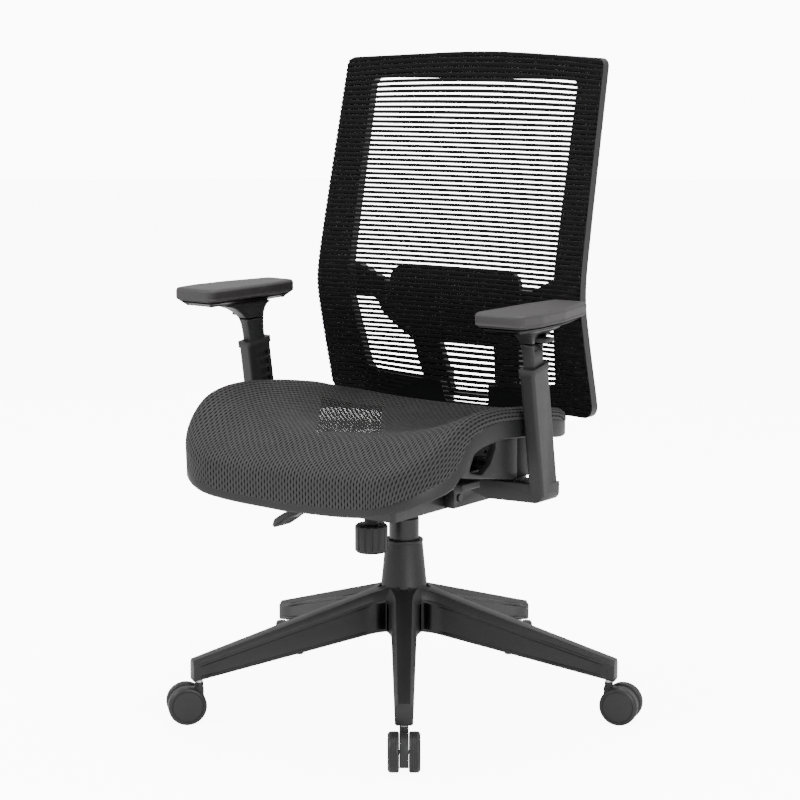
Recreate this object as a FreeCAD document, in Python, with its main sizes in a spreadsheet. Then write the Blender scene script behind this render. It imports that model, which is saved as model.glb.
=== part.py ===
import FreeCAD, Part
import math
import os

import Sketcher
from FreeCAD import Placement, Rotation, Vector

# Swivel office chair, in millimetres.  The sitter faces -Y, +X is the sitter's left,
# +Z is up, and the origin is on the floor under the column.

DIMENSIONS = [
    # star base
    ("arm_count", 5, "arms of the star base"),
    ("base_turn", 36, "turn of the base that puts one arm straight back, degrees"),
    ("base_reach", 345, "radius of the arm tips"),
    ("caster_circle", 334, "radius of the caster stems"),
    ("arm_root_reach", 18, "radius where the arm sections start, inside the hub"),
    ("arm_root_half", 21, "half width of an arm at the hub"),
    ("arm_root_crown_half", 14, "half width of the flat top at the hub"),
    ("arm_root_floor", 129, "underside of an arm at the hub"),
    ("arm_root_shoulder", 184, "where the side meets the top facet at the hub"),
    ("arm_root_crown", 197, "top of an arm at the hub"),
    ("arm_tip_half", 13.5, "half width of an arm at its tip"),
    ("arm_tip_crown_half", 9, "half width of the flat top at the tip"),
    ("arm_tip_floor", 66, "underside of an arm at its tip"),
    ("arm_tip_shoulder", 92, "where the side meets the top facet at the tip"),
    ("arm_tip_crown", 99, "top of an arm at its tip"),
    ("hub_radius", 34, "outside of the hub"),
    ("hub_floor", 128, "underside of the hub"),
    ("hub_top", 193, "top of the hub, under the cover"),
    ("collar_radius", 21.5, "collar under the hub"),
    ("collar_floor", 114, "underside of the collar"),
    ("hub_bore_low", 19.1, "taper bore radius at the bottom"),
    ("hub_bore_high", 24, "taper bore radius at the top"),
    # column
    ("cover_foot", 36.4, "outside radius of the cover at the hub"),
    ("cover_neck", 29.9, "outside radius of the cover at its lip"),
    ("cover_lip_top", 268, "top of the cover"),
    ("cover_wall", 2.5, "wall of the cover"),
    ("tube_radius", 23.8, "outside radius of the stand tube"),
    ("tube_foot_radius", 18.9, "radius of the taper at the foot of the stand tube"),
    ("tube_wall", 1.8, "wall of the stand tube"),
    ("tube_foot", 116, "bottom of the stand tube"),
    ("tube_top", 303, "top of the stand tube"),
    ("bush_length", 60, "length of the guide bush"),
    ("cylinder_radius", 14, "outside radius of the gas cylinder"),
    ("cylinder_bore", 12, "bore of the gas cylinder"),
    ("cylinder_foot", 137, "bottom of the gas cylinder at its lowest"),
    ("cylinder_head", 348, "top of the gas cylinder at its lowest"),
    ("rod_radius", 5, "radius of the piston rod"),
    ("rod_top", 310, "top of the piston rod"),
    ("running_gap", 0.05, "radial clearance of a running fit"),
    ("clear_gap", 0.3, "clearance between pieces that pass each other"),
    # casters
    ("wheel_radius", 30, "radius of a caster wheel"),
    ("wheel_width", 17, "width of a caster wheel"),
    ("wheel_gap", 14, "space between the two wheels"),
    ("caster_trail", 20, "distance of the axle from the stem"),
    ("axle_radius", 3, "radius of a caster axle"),
    ("stem_radius", 5.5, "radius of a caster stem"),
    ("stem_top", 93, "top of a caster stem"),
    ("stem_socket", 29, "depth of the stem's socket in the arm"),
    ("hood_radius", 27, "radius of the web of the hood"),
    ("hood_neck_radius", 6.6, "radius of the neck of the hood"),
    ("hood_top", 63, "top of the hood's neck"),
    # mechanism
    ("housing_half", 66, "half width of the mechanism housing"),
    ("housing_front", -118, "front of the housing"),
    ("housing_rear", 96, "rear of the housing"),
    ("housing_floor", 320, "underside of the housing"),
    ("housing_top", 356, "top of the housing"),
    ("housing_wall", 5, "wall of the housing"),
    ("recline_y", 30, "recline pivot, fore and aft"),
    ("recline_z", 338, "recline pivot, height"),
    ("recline_pin_radius", 6, "radius of the recline pin"),
    ("seat_pivot_y", -90, "seat pivot, fore and aft"),
    ("seat_pivot_z", 372, "seat pivot, height"),
    ("seat_pin_radius", 5, "radius of the seat pivot pin"),
    ("ear_thick", 8, "thickness of the pivot ears"),
    ("knob_y", -86, "tension knob, fore and aft"),
    ("knob_radius", 25.5, "outside radius of the tension knob"),
    ("knob_floor", 262, "underside of the knob"),
    ("knob_top", 306, "top of the knob's grip"),
    ("flute_count", 14, "flutes round the knob"),
    ("lever_y", -22, "height lever, fore and aft"),
    ("lever_pivot_x", -76, "pivot of the height lever"),
    ("lever_pivot_z", 328, "pivot of the height lever, height"),
    ("lever_reach", 118, "length of the lever's rod"),
    ("lever_drop", 17, "downward slope of the lever, degrees"),
    ("paddle_length", 52, "length of the paddle"),
    ("paddle_width", 46, "width of the paddle"),
    ("paddle_thick", 9, "thickness of the paddle"),
    # seat
    ("seat_half", 250, "half width of the seat"),
    ("seat_front", -300, "front of the seat"),
    ("seat_rear", 140, "rear of the seat"),
    ("seat_front_corner", 120, "corner radius at the front"),
    ("seat_rear_corner", 90, "corner radius at the rear"),
    ("mesh_thick", 3, "thickness of the stretched mesh solids"),
    ("rim_width", 26, "width of the seat's rim"),
    ("rim_depth", 22, "depth of the seat's rim"),
    ("wall_thick", 12, "thickness of the seat frame's side walls"),
    ("wall_front", -166, "front of the side walls"),
    ("wall_rear", 92, "rear of the side walls"),
    ("frame_floor", 397, "underside of the seat frame"),
    ("frame_beam", 10, "thickness of the seat frame's cross beams"),
    ("plate_half", 150, "half width of the seat plate"),
    ("plate_front", -125, "front of the seat plate"),
    ("plate_rear", 88, "rear of the seat plate"),
    ("plate_floor", 390, "underside of the seat plate"),
    # arms
    ("sleeve_x", 268, "middle of an arm's sleeve"),
    ("sleeve_y", -12, "middle of a sleeve at its foot"),
    ("sleeve_foot", 376, "foot of a sleeve"),
    ("sleeve_lean", 9, "forward lean of the arms, degrees"),
    ("sleeve_toe", 5, "outward turn of the sleeves, degrees"),
    ("sleeve_length", 197, "length of a sleeve"),
    ("sleeve_thick", 24, "side-to-side size of a sleeve"),
    ("sleeve_depth", 50, "fore-and-aft size of a sleeve"),
    ("sleeve_round", 5, "rounding of a sleeve's long edges"),
    ("collar_height", 10, "height of the collar round the top of a sleeve"),
    ("collar_proud", 1.5, "how far the collar stands out from the sleeve"),
    ("slot_first", 124, "bottom of the lowest sleeve slot above the foot of the sleeve"),
    ("slot_pitch", 14.4, "pitch of the sleeve slots"),
    ("slot_height", 8.5, "height of a sleeve slot"),
    ("bar_inner", 128, "inner end of an arm bar"),
    ("bar_floor", 362, "underside of an arm bar"),
    ("post_thick", 18, "side-to-side size of the sliding post"),
    ("post_depth", 34, "fore-and-aft size of the sliding post"),
    ("post_foot", 66, "foot of the post above the foot of the sleeve"),
    ("post_head", 241, "top of the post above the foot of the sleeve"),
    ("notch_pitch", 13, "pitch of the locking notches"),
    ("notch_count", 4, "locking notches, and slots in the sleeve"),
    ("head_floor", 604, "underside of the post's head"),
    ("head_top", 626, "top of the post's head"),
    ("head_half_x", 15, "half size of the head, side to side"),
    ("head_half_y", 27, "half size of the head, fore and aft"),
    ("tray_top", 631, "top of the post's tray"),
    ("pad_x", 283, "middle of an arm pad"),
    ("pad_y", -64, "middle of an arm pad, fore and aft"),
    ("pad_toe", 3, "outward turn of the pads, degrees"),
    ("pad_length", 206, "length of a pad"),
    ("pad_front_half", 44, "half width of a pad near its front"),
    ("pad_rear_half", 34, "half width of a pad near its rear"),
    ("pad_floor", 641, "underside of a pad"),
    ("pad_top", 661, "top of a pad"),
    ("trigger_reach", 24, "length of a release trigger"),
    ("trigger_width", 24, "width of a release trigger"),
    # back
    ("back_top", 1018, "top corners of the back"),
    ("back_crown", 1030, "middle of the top edge of the back"),
    ("back_floor", 462, "bottom edge of the back"),
    ("back_top_half", 246, "half width at the top"),
    ("back_waist_half", 255, "half width at the waist"),
    ("back_waist", 656, "height of the waist"),
    ("back_waist_y", 103.5, "how far back the edges lie at the waist"),
    ("back_upper_slope", 0.225, "backward slope above the waist"),
    ("back_lower_slope", 0.262, "forward slope below the waist"),
    ("back_bend", 30, "softness of the bend at the waist"),
    ("back_corner", 14, "corner radius of the back"),
    ("back_bow", 28, "how far the middle lies behind the edges"),
    ("window_top_half", 198, "half width of the back frame's opening at the top"),
    ("window_foot_half", 183, "half width of the back frame's opening at the bottom"),
    ("window_top", 985, "top of the back frame's opening"),
    ("window_foot", 508, "bottom of the back frame's opening"),
    ("frame_deep", 17, "depth of the back frame"),
    ("spine_near", 22, "front of the spine behind the mesh"),
    ("spine_far", 36, "back of the spine behind the mesh"),
    ("lumbar_half", 126, "half width of the lumbar pad"),
    ("lumbar_floor", 606, "bottom of the lumbar pad"),
    ("lumbar_top", 684, "top of the lumbar pad"),
    ("lumbar_near", 9, "front of the lumbar pad behind the mesh"),
    ("lumbar_far", 19, "back of the lumbar pad behind the mesh"),
    ("yoke_half", 86, "half width of the back's yoke"),
    ("yoke_plate_y", 208, "front of the yoke's upright plate"),
    ("yoke_post_y", 199, "front of the yoke's two posts"),
    ("yoke_plate_thick", 14, "thickness of the yoke's upright plate"),
    ("yoke_bridge", 450, "top of the yoke's cross plate"),
    ("yoke_top", 512, "top of the yoke's two posts"),
]

# The seat's surface: for each place fore and aft, its height in the middle and at the sides.
SEAT_SECTIONS = [
    (-302, 374, 380), (-292, 404, 404), (-270, 434, 436), (-240, 453, 474), (-205, 462, 506),
    (-160, 462, 520), (-110, 457, 523), (-50, 451, 519), (10, 448, 511), (70, 449, 498),
    (110, 455, 487), (145, 466, 473),
]

# Where the casters point: the direction in which each one trails, in degrees.
CASTER_TRAILS = [36, 106, 216, 216, 317]

doc = FreeCAD.newDocument("office_chair")
sheet = doc.addObject("Spreadsheet::Sheet", "Dims")
for row, (alias, value, note) in enumerate(DIMENSIONS, start=1):
    sheet.set(f"A{row}", alias)
    sheet.set(f"B{row}", str(value))
    sheet.set(f"C{row}", note)
    sheet.setAlias(f"B{row}", alias)
doc.recompute()

pieces = []


def size(alias):
    """Value of one driving dimension."""
    return float(sheet.get(alias))


def keep(item, label):
    """Registers a finished piece under its node name."""
    item.Label = label
    pieces.append(item)
    return item


def bind(item, **bindings):
    """Binds properties to expressions; a double underscore stands for a dot."""
    for name, expression in bindings.items():
        item.setExpression(name.replace("__", "."), str(expression))


# ---------------------------------------------------------------- Part helpers


def box(name, x_span, y_span, z_span):
    """Box between pairs of expressions."""
    item = doc.addObject("Part::Box", name)
    bind(
        item,
        Length=f"({x_span[1]}) - ({x_span[0]})",
        Width=f"({y_span[1]}) - ({y_span[0]})",
        Height=f"({z_span[1]}) - ({z_span[0]})",
        Placement__Base__x=x_span[0],
        Placement__Base__y=y_span[0],
        Placement__Base__z=z_span[0],
    )
    return item


def rod(name, radius, length, start, axis="z"):
    """Cylinder from a start point along +X, +Y or +Z."""
    item = doc.addObject("Part::Cylinder", name)
    turns = {
        "x": Rotation(Vector(0, 1, 0), 90),
        "y": Rotation(Vector(1, 0, 0), -90),
        "z": Rotation(),
    }
    item.Placement = Placement(Vector(), turns[axis])
    bind(
        item,
        Radius=radius,
        Height=length,
        Placement__Base__x=start[0],
        Placement__Base__y=start[1],
        Placement__Base__z=start[2],
    )
    return item


def fuse(name, *items):
    """Union of several items."""
    item = doc.addObject("Part::MultiFuse", name)
    item.Shapes = list(items)
    item.Refine = True
    return item


def cut(name, base, *tools):
    """Base with the tools taken away."""
    item = doc.addObject("Part::Cut", name)
    item.Base = base
    item.Tool = tools[0] if len(tools) == 1 else fuse(name + "_tools", *tools)
    item.Refine = True
    return item


def rounded(name, base, radius, choose):
    """Base with the chosen edges rounded."""
    doc.recompute()
    item = doc.addObject("Part::Fillet", name)
    item.Base = base
    chosen = [i for i, edge in enumerate(base.Shape.Edges, start=1) if choose(edge)]
    item.Edges = [(i, radius, radius) for i in chosen]
    return item


def runs_along(edge, direction):
    """True for a straight edge along the direction."""
    if not isinstance(edge.Curve, Part.Line):
        return False
    return abs(abs(edge.Curve.Direction.dot(direction)) - 1) < 1e-6


def stands_up(edge):
    """True for a straight upright edge."""
    return runs_along(edge, Vector(0, 0, 1))


# ---------------------------------------------------------- PartDesign helpers


def new_body(name):
    """Empty body."""
    return doc.addObject("PartDesign::Body", name)


def plane_sketch(body, name, role, offset="0"):
    """Sketch on one of the body's own origin planes, moved along its normal."""
    sketch = body.newObject("Sketcher::SketchObject", name)
    planes = [feature for feature in body.Origin.OriginFeatures if feature.Role == role]
    sketch.AttachmentSupport = [(planes[0], "")]
    sketch.MapMode = "FlatFace"
    bind(sketch, AttachmentOffset__Base__z=offset)
    return sketch


def outline(sketch, corners):
    """Closed polygon whose corners are tied to the sketch's origin by expressions."""
    places = [
        Vector(*[float(sketch.evalExpression(str(term))) for term in corner], 0)
        for corner in corners
    ]
    count = len(places)
    for i in range(count):
        sketch.addGeometry(Part.LineSegment(places[i], places[(i + 1) % count]), False)
    for i in range(count):
        sketch.addConstraint(
            Sketcher.Constraint("Coincident", i, 2, (i + 1) % count, 1)
        )
    for i, corner in enumerate(corners):
        tie_point(sketch, i, corner, places[i])


def tie_point(sketch, line, corner, place):
    """Fixes the start of a line at a corner given by two expressions."""
    kinds = (("DistanceX", corner[0], place.x, -2), ("DistanceY", corner[1], place.y, -1))
    for kind, term, value, axis in kinds:
        if abs(value) < 1e-9:
            sketch.addConstraint(Sketcher.Constraint("PointOnObject", line, 1, axis))
            continue
        number = sketch.addConstraint(Sketcher.Constraint(kind, -1, 1, line, 1, value))
        sketch.setExpression(f"Constraints[{number}]", str(term))


def revolve(body, name, corners, kind="PartDesign::Revolution"):
    """Turned feature: corners are (radius, height) pairs round the body's Z axis."""
    sketch = plane_sketch(body, name + "_profile", "XZ_Plane")
    outline(sketch, corners)
    feature = body.newObject(kind, name)
    feature.Profile = sketch
    feature.ReferenceAxis = (sketch, ["V_Axis"])
    feature.Angle = 360
    return feature


def turned(name, corners):
    """Body made of one turned profile."""
    body = new_body(name)
    revolve(body, name + "_turn", corners)
    return body


# -------------------------------------------------------------- surface helpers


def freeform(points):
    """Smooth face through a grid of points."""
    surface = Part.BSplineSurface()
    surface.interpolate(points)
    return surface.toShape()


def slab(face, shift, thickness):
    """Layer made by moving a face and sweeping it along the same direction."""
    moved = face.copy()
    moved.translate(shift)
    layer = moved.extrude(thickness)
    return layer


def feature_of(shape, name):
    """Document object that holds a shape made by the functions above."""
    item = doc.addObject("Part::Feature", name)
    item.Shape = shape
    return item


def rounded_polygon(corners, radii):
    """Closed wire in the XY plane with each corner rounded to its own radius."""
    count = len(corners)
    arcs = []
    for i in range(count):
        here = Vector(*corners[i], 0)
        before = (Vector(*corners[i - 1], 0) - here).normalize()
        after = (Vector(*corners[(i + 1) % count], 0) - here).normalize()
        half_angle = before.getAngle(after) / 2
        reach = radii[i] / math.tan(half_angle)
        middle = (before + after).normalize()
        nearest = here + middle * (radii[i] / math.sin(half_angle) - radii[i])
        arcs.append((here + before * reach, nearest, here + after * reach))
    edges = []
    for i, (start, nearest, end) in enumerate(arcs):
        edges.append(Part.Arc(start, nearest, end).toShape())
        following = arcs[(i + 1) % count][0]
        if end.distanceToPoint(following) > 1e-6:
            edges.append(Part.LineSegment(end, following).toShape())
    return Part.Wire(edges)


def prism(wire, direction):
    """Solid swept from a flat closed wire."""
    return Part.Face(wire).extrude(direction)


def mirrored_polygon(half):
    """Right half of an outline, from the bottom up, completed by its mirror image."""
    return half + [(-across, along) for across, along in reversed(half)]


# ------------------------------------------------------------------- star base


def make_star_base():
    """Five-arm base with its hub, taper bore and caster sockets."""
    body = new_body("StarBase")
    sections = []
    for end in ("root", "tip"):
        reach = "Dims.arm_root_reach" if end == "root" else "Dims.base_reach"
        sketch = plane_sketch(body, f"arm_{end}", "XZ_Plane", reach)
        wide = f"Dims.arm_{end}_half"
        narrow = f"Dims.arm_{end}_crown_half"
        floor = f"Dims.arm_{end}_floor"
        shoulder = f"Dims.arm_{end}_shoulder"
        crown = f"Dims.arm_{end}_crown"
        outline(
            sketch,
            [
                (f"-{wide} + 2", floor), (f"{wide} - 2", floor), (wide, f"{floor} + 4"),
                (wide, shoulder), (narrow, crown), (f"-{narrow}", crown),
                (f"-{wide}", shoulder), (f"-{wide}", f"{floor} + 4"),
            ],
        )
        sections.append(sketch)
    arm = body.newObject("PartDesign::AdditiveLoft", "Arm")
    arm.Profile = sections[0]
    arm.Sections = [sections[1]]
    arm.Ruled = True
    socket = plane_sketch(body, "socket_circle", "XY_Plane", "Dims.arm_tip_floor")
    circle = size("caster_circle")
    upright = Vector(0, 0, 1)
    socket.addGeometry(Part.Circle(Vector(0, -circle, 0), upright, size("stem_radius")))
    socket.addConstraint(Sketcher.Constraint("PointOnObject", 0, 3, -2))
    number = socket.addConstraint(Sketcher.Constraint("DistanceY", -1, 1, 0, 3, -circle))
    socket.setExpression(f"Constraints[{number}]", "-Dims.caster_circle")
    number = socket.addConstraint(Sketcher.Constraint("Radius", 0, size("stem_radius")))
    socket.setExpression(f"Constraints[{number}]", "Dims.stem_radius + Dims.running_gap")
    doc.recompute()
    bore = body.newObject("PartDesign::Pocket", "Socket")
    bore.Profile = socket
    bore.Reversed = True
    bind(bore, Length="Dims.stem_socket")
    doc.recompute()
    pattern = body.newObject("PartDesign::PolarPattern", "Arms")
    pattern.Originals = [arm, bore]
    axes = [feature for feature in body.Origin.OriginFeatures if feature.Role == "Z_Axis"]
    pattern.Axis = (axes[0], [""])
    pattern.Angle = 360
    bind(pattern, Occurrences="Dims.arm_count")
    body.Tip = pattern
    doc.recompute()
    revolve(
        body,
        "Hub",
        [
            (0, "Dims.collar_floor"), ("Dims.collar_radius", "Dims.collar_floor"),
            ("Dims.collar_radius", "Dims.hub_floor"), ("Dims.hub_radius", "Dims.hub_floor + 4"),
            ("Dims.hub_radius", "Dims.hub_top"), (0, "Dims.hub_top"),
        ],
    )
    doc.recompute()
    revolve(
        body,
        "TaperBore",
        [
            (0, "Dims.collar_floor - 5"), ("Dims.hub_bore_low", "Dims.collar_floor - 5"),
            ("Dims.hub_bore_low", "Dims.tube_foot + 4"), ("Dims.hub_bore_high", "Dims.hub_top - 10"),
            ("Dims.hub_bore_high", "Dims.hub_top + 20"), (0, "Dims.hub_top + 20"),
        ],
        "PartDesign::Groove",
    )
    bind(body, Placement__Rotation__Angle="Dims.base_turn")
    return keep(body, "star_base")


def make_column():
    """Stand tube, guide bush, gas spring and the cover over the hub."""
    keep(
        turned(
            "Cover",
            [
                ("Dims.cover_foot - Dims.cover_wall", "Dims.hub_top"),
                ("Dims.cover_foot", "Dims.hub_top"),
                ("Dims.cover_neck - 1", "Dims.cover_lip_top - 5"),
                ("Dims.cover_neck", "Dims.cover_lip_top - 4"),
                ("Dims.cover_neck", "Dims.cover_lip_top"),
                ("Dims.tube_radius + Dims.running_gap", "Dims.cover_lip_top"),
                ("Dims.tube_radius + Dims.running_gap", "Dims.cover_lip_top - 3"),
                ("Dims.cover_neck - Dims.cover_wall - 1", "Dims.cover_lip_top - 5"),
            ],
        ),
        "column_cover",
    )
    keep(
        turned(
            "StandTube",
            [
                (9, "Dims.tube_foot"),
                ("Dims.tube_foot_radius", "Dims.tube_foot"),
                ("Dims.tube_radius", "Dims.hub_top - 10"),
                ("Dims.tube_radius", "Dims.tube_top - 2"),
                ("Dims.tube_radius - 1.5", "Dims.tube_top"),
                ("Dims.tube_radius - Dims.tube_wall", "Dims.tube_top"),
                ("Dims.tube_radius - Dims.tube_wall", "Dims.hub_top - 10"),
                ("Dims.tube_foot_radius - Dims.tube_wall", "Dims.tube_foot + 4"),
                (9, "Dims.tube_foot + 4"),
            ],
        ),
        "stand_tube",
    )
    keep(
        turned(
            "GuideBush",
            [
                ("Dims.cylinder_radius + Dims.running_gap", "Dims.tube_top - Dims.bush_length"),
                ("Dims.tube_radius - Dims.tube_wall", "Dims.tube_top - Dims.bush_length"),
                ("Dims.tube_radius - Dims.tube_wall", "Dims.tube_top"),
                ("Dims.tube_radius - 3", "Dims.tube_top + 4"),
                ("Dims.cylinder_radius + 2", "Dims.tube_top + 5"),
                ("Dims.cylinder_radius + Dims.running_gap", "Dims.tube_top + 4"),
            ],
        ),
        "guide_bush",
    )
    keep(
        turned(
            "Bearing",
            [
                ("Dims.rod_radius", "Dims.tube_foot + 4 + Dims.running_gap"),
                ("Dims.rod_radius + 8", "Dims.tube_foot + 4 + Dims.running_gap"),
                ("Dims.rod_radius + 8", "Dims.tube_foot + 12"),
                ("Dims.rod_radius", "Dims.tube_foot + 12"),
            ],
        ),
        "thrust_bearing",
    )
    keep(
        turned(
            "PistonRod",
            [
                (0, "Dims.tube_foot + 1"),
                ("Dims.rod_radius", "Dims.tube_foot + 1"),
                ("Dims.rod_radius", "Dims.rod_top - 14"),
                ("Dims.cylinder_bore - Dims.clear_gap", "Dims.rod_top - 14"),
                ("Dims.cylinder_bore - Dims.clear_gap", "Dims.rod_top"),
                (0, "Dims.rod_top"),
            ],
        ),
        "piston_rod",
    )
    keep(
        turned(
            "GasCylinder",
            [
                ("Dims.rod_radius + Dims.running_gap", "Dims.cylinder_foot"),
                ("Dims.cylinder_radius", "Dims.cylinder_foot"),
                ("Dims.cylinder_radius", "Dims.housing_floor"),
                ("Dims.cylinder_radius - 1", "Dims.cylinder_head"),
                (0, "Dims.cylinder_head"),
                (0, "Dims.cylinder_head - 22"),
                ("Dims.cylinder_bore", "Dims.cylinder_head - 22"),
                ("Dims.cylinder_bore", "Dims.cylinder_foot + 6"),
                ("Dims.rod_radius + Dims.running_gap", "Dims.cylinder_foot + 6"),
            ],
        ),
        "gas_cylinder",
    )


# --------------------------------------------------------------------- casters


def caster_place(index):
    """Placement of a caster: its stem's axis, turned to the way it trails."""
    turn = size("base_turn") + index * 360 / size("arm_count")
    stem = Rotation(Vector(0, 0, 1), turn).multVec(Vector(0, -size("caster_circle"), 0))
    return Placement(stem, Rotation(Vector(0, 0, 1), CASTER_TRAILS[index]))


def make_caster(index):
    """Stem, hood, axle and two wheels of one caster."""
    place = caster_place(index)
    name = f"Caster{index}"
    stem = turned(
        name + "Stem",
        [
            (0, "Dims.wheel_radius + 8"),
            ("Dims.stem_radius - 1.5", "Dims.wheel_radius + 8"),
            ("Dims.stem_radius - 1.5", "Dims.hood_top"),
            ("Dims.stem_radius", "Dims.hood_top"),
            ("Dims.stem_radius", "Dims.stem_top - 2"),
            ("Dims.stem_radius - 2", "Dims.stem_top"),
            (0, "Dims.stem_top"),
        ],
    )
    stem.Placement = place
    keep(stem, f"caster_stem_{index + 1}")

    web_half = "Dims.wheel_gap / 2 - Dims.clear_gap"
    axle_y = "-Dims.caster_trail"
    axle_z = "Dims.wheel_radius"
    web_start = (f"-({web_half})", axle_y, axle_z)
    web = rod(name + "Web", "Dims.hood_radius", f"2 * ({web_half})", web_start, "x")
    neck_foot = "Dims.wheel_radius * 2 - 7"
    neck_length = f"Dims.hood_top - ({neck_foot})"
    neck = rod(name + "Neck", "Dims.hood_neck_radius", neck_length, (0, 0, neck_foot))
    post = box(
        name + "Post",
        (f"-({web_half})", web_half),
        ("-Dims.caster_trail", "Dims.hood_neck_radius"),
        ("Dims.wheel_radius + 2", "Dims.wheel_radius * 2 - 4"),
    )
    below = box(
        name + "Below",
        ("-20", "20"),
        ("-Dims.caster_trail - 40", "-Dims.caster_trail + 40"),
        ("-20", "Dims.wheel_radius - 18"),
    )
    stem_foot = (0, 0, "Dims.wheel_radius + 8")
    stem_hole = rod(name + "StemHole", "Dims.stem_radius - 1.5", "60", stem_foot)
    axle_hole = rod(name + "AxleHole", "Dims.axle_radius", "60", ("-30", axle_y, axle_z), "x")
    hood = cut(name + "Hood", fuse(name + "HoodBlank", web, neck, post), below, stem_hole, axle_hole)
    hood.Placement = place
    keep(hood, f"caster_hood_{index + 1}")

    axle_half = "Dims.wheel_gap / 2 + Dims.wheel_width - 4"
    axle = turned(
        name + "Axle",
        [
            (0, f"-({axle_half})"), ("Dims.axle_radius", f"-({axle_half})"),
            ("Dims.axle_radius", axle_half), (0, axle_half),
        ],
    )
    hub_centre = Vector(0, -size("caster_trail"), size("wheel_radius"))
    axle.Placement = place * Placement(hub_centre, Rotation(Vector(0, 1, 0), 90))
    keep(axle, f"caster_axle_{index + 1}")

    for side, turn in (("left", 90), ("right", -90)):
        wheel = turned(
            name + side.title() + "Wheel",
            [
                ("Dims.axle_radius + Dims.running_gap", "Dims.wheel_gap / 2"),
                ("Dims.wheel_radius - 2", "Dims.wheel_gap / 2"),
                ("Dims.wheel_radius", "Dims.wheel_gap / 2 + 2.5"),
                ("Dims.wheel_radius", "Dims.wheel_gap / 2 + Dims.wheel_width - 4"),
                ("Dims.wheel_radius - 1.2", "Dims.wheel_gap / 2 + Dims.wheel_width - 1.2"),
                ("Dims.wheel_radius - 4", "Dims.wheel_gap / 2 + Dims.wheel_width"),
                (0, "Dims.wheel_gap / 2 + Dims.wheel_width"),
                (0, "Dims.wheel_gap / 2 + Dims.wheel_width - 3"),
                ("Dims.axle_radius + Dims.running_gap", "Dims.wheel_gap / 2 + Dims.wheel_width - 3"),
            ],
        )
        wheel.Placement = place * Placement(hub_centre, Rotation(Vector(0, 1, 0), turn))
        keep(wheel, f"caster_wheel_{side}_{index + 1}")


# ------------------------------------------------------------------- mechanism


def outer_corner(edge):
    """True for an upright corner edge of the housing's block."""
    middle = edge.CenterOfMass
    upright = runs_along(edge, Vector(0, 0, 1)) and middle.z < size("housing_top") - 5
    aside = abs(middle.x) > size("housing_half") - 1
    at_end = middle.y < size("housing_front") + 1 or middle.y > size("housing_rear") - 1
    return upright and aside and at_end


def make_mechanism():
    """Housing on the gas spring, its pins, spring, tension knob and height lever."""
    half = "Dims.housing_half"
    wall = "Dims.housing_wall"
    shell = box(
        "HousingBlock",
        (f"-{half}", half),
        ("Dims.housing_front", "Dims.housing_rear"),
        ("Dims.housing_floor", "Dims.housing_top"),
    )
    ears = [
        box(
            f"SeatEar{side}",
            (low, high),
            ("Dims.seat_pivot_y - 14", "Dims.seat_pivot_y + 14"),
            ("Dims.housing_top - 1", "Dims.seat_pivot_z + 9"),
        )
        for side, low, high in (
            ("Left", f"{half} - Dims.ear_thick", half),
            ("Right", f"-{half}", f"-{half} + Dims.ear_thick"),
        )
    ]
    lever_ears = [
        box(
            f"LeverEar{number}",
            ("Dims.lever_pivot_x - 6", f"-{half} + 1"),
            (f"Dims.lever_y + ({shift})", f"Dims.lever_y + ({shift}) + 5"),
            ("Dims.lever_pivot_z - 7", "Dims.lever_pivot_z + 9"),
        )
        for number, shift in ((1, -11), (2, 6))
    ]
    solid = fuse("HousingSolid", shell, *ears, *lever_ears)
    solid = rounded("HousingRounded", solid, 8, outer_corner)
    inside = (f"-{half} + {wall}", f"{half} - {wall}")
    above = (f"Dims.housing_floor + {wall}", "Dims.housing_top + 1")
    front_room = box("FrontRoom", inside, (f"Dims.housing_front + {wall}", "-22"), above)
    rear_room = box("RearRoom", inside, ("22", f"Dims.housing_rear - {wall}"), above)
    recline_start = ("-120", "Dims.recline_y", "Dims.recline_z")
    recline_hole = rod("ReclineHole", "Dims.recline_pin_radius", "240", recline_start, "x")
    seat_start = ("-120", "Dims.seat_pivot_y", "Dims.seat_pivot_z")
    seat_hole = rod("SeatHole", "Dims.seat_pin_radius", "240", seat_start, "x")
    lever_start = ("Dims.lever_pivot_x", "Dims.lever_y - 15", "Dims.lever_pivot_z")
    lever_hole = rod("LeverHole", "2.5 + Dims.running_gap", "30", lever_start, "y")
    knob_hole = rod("KnobHole", "4.6", "60", (0, "Dims.knob_y", "Dims.housing_floor - 20"))
    socket = doc.addObject("Part::Cone", "HeadSocket")
    bind(
        socket,
        Radius1="Dims.cylinder_radius",
        Radius2="Dims.cylinder_radius - 1",
        Height="Dims.cylinder_head - Dims.housing_floor",
        Placement__Base__z="Dims.housing_floor",
    )
    rooms = (front_room, rear_room, socket)
    holes = (recline_hole, seat_hole, lever_hole, knob_hole)
    keep(cut("Housing", solid, *rooms, *holes), "mechanism_housing")
    pin_start = ("-Dims.yoke_half - 2", "Dims.recline_y", "Dims.recline_z")
    pin = rod("ReclinePin", "Dims.recline_pin_radius", "2 * Dims.yoke_half + 4", pin_start, "x")
    keep(pin, "recline_pin")
    pin_start = ("-Dims.housing_half - 14", "Dims.seat_pivot_y", "Dims.seat_pivot_z")
    pin = rod("SeatPin", "Dims.seat_pin_radius", "2 * Dims.housing_half + 28", pin_start, "x")
    keep(pin, "seat_pivot_pin")
    make_tension_spring()
    make_knob()
    make_lever()


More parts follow.
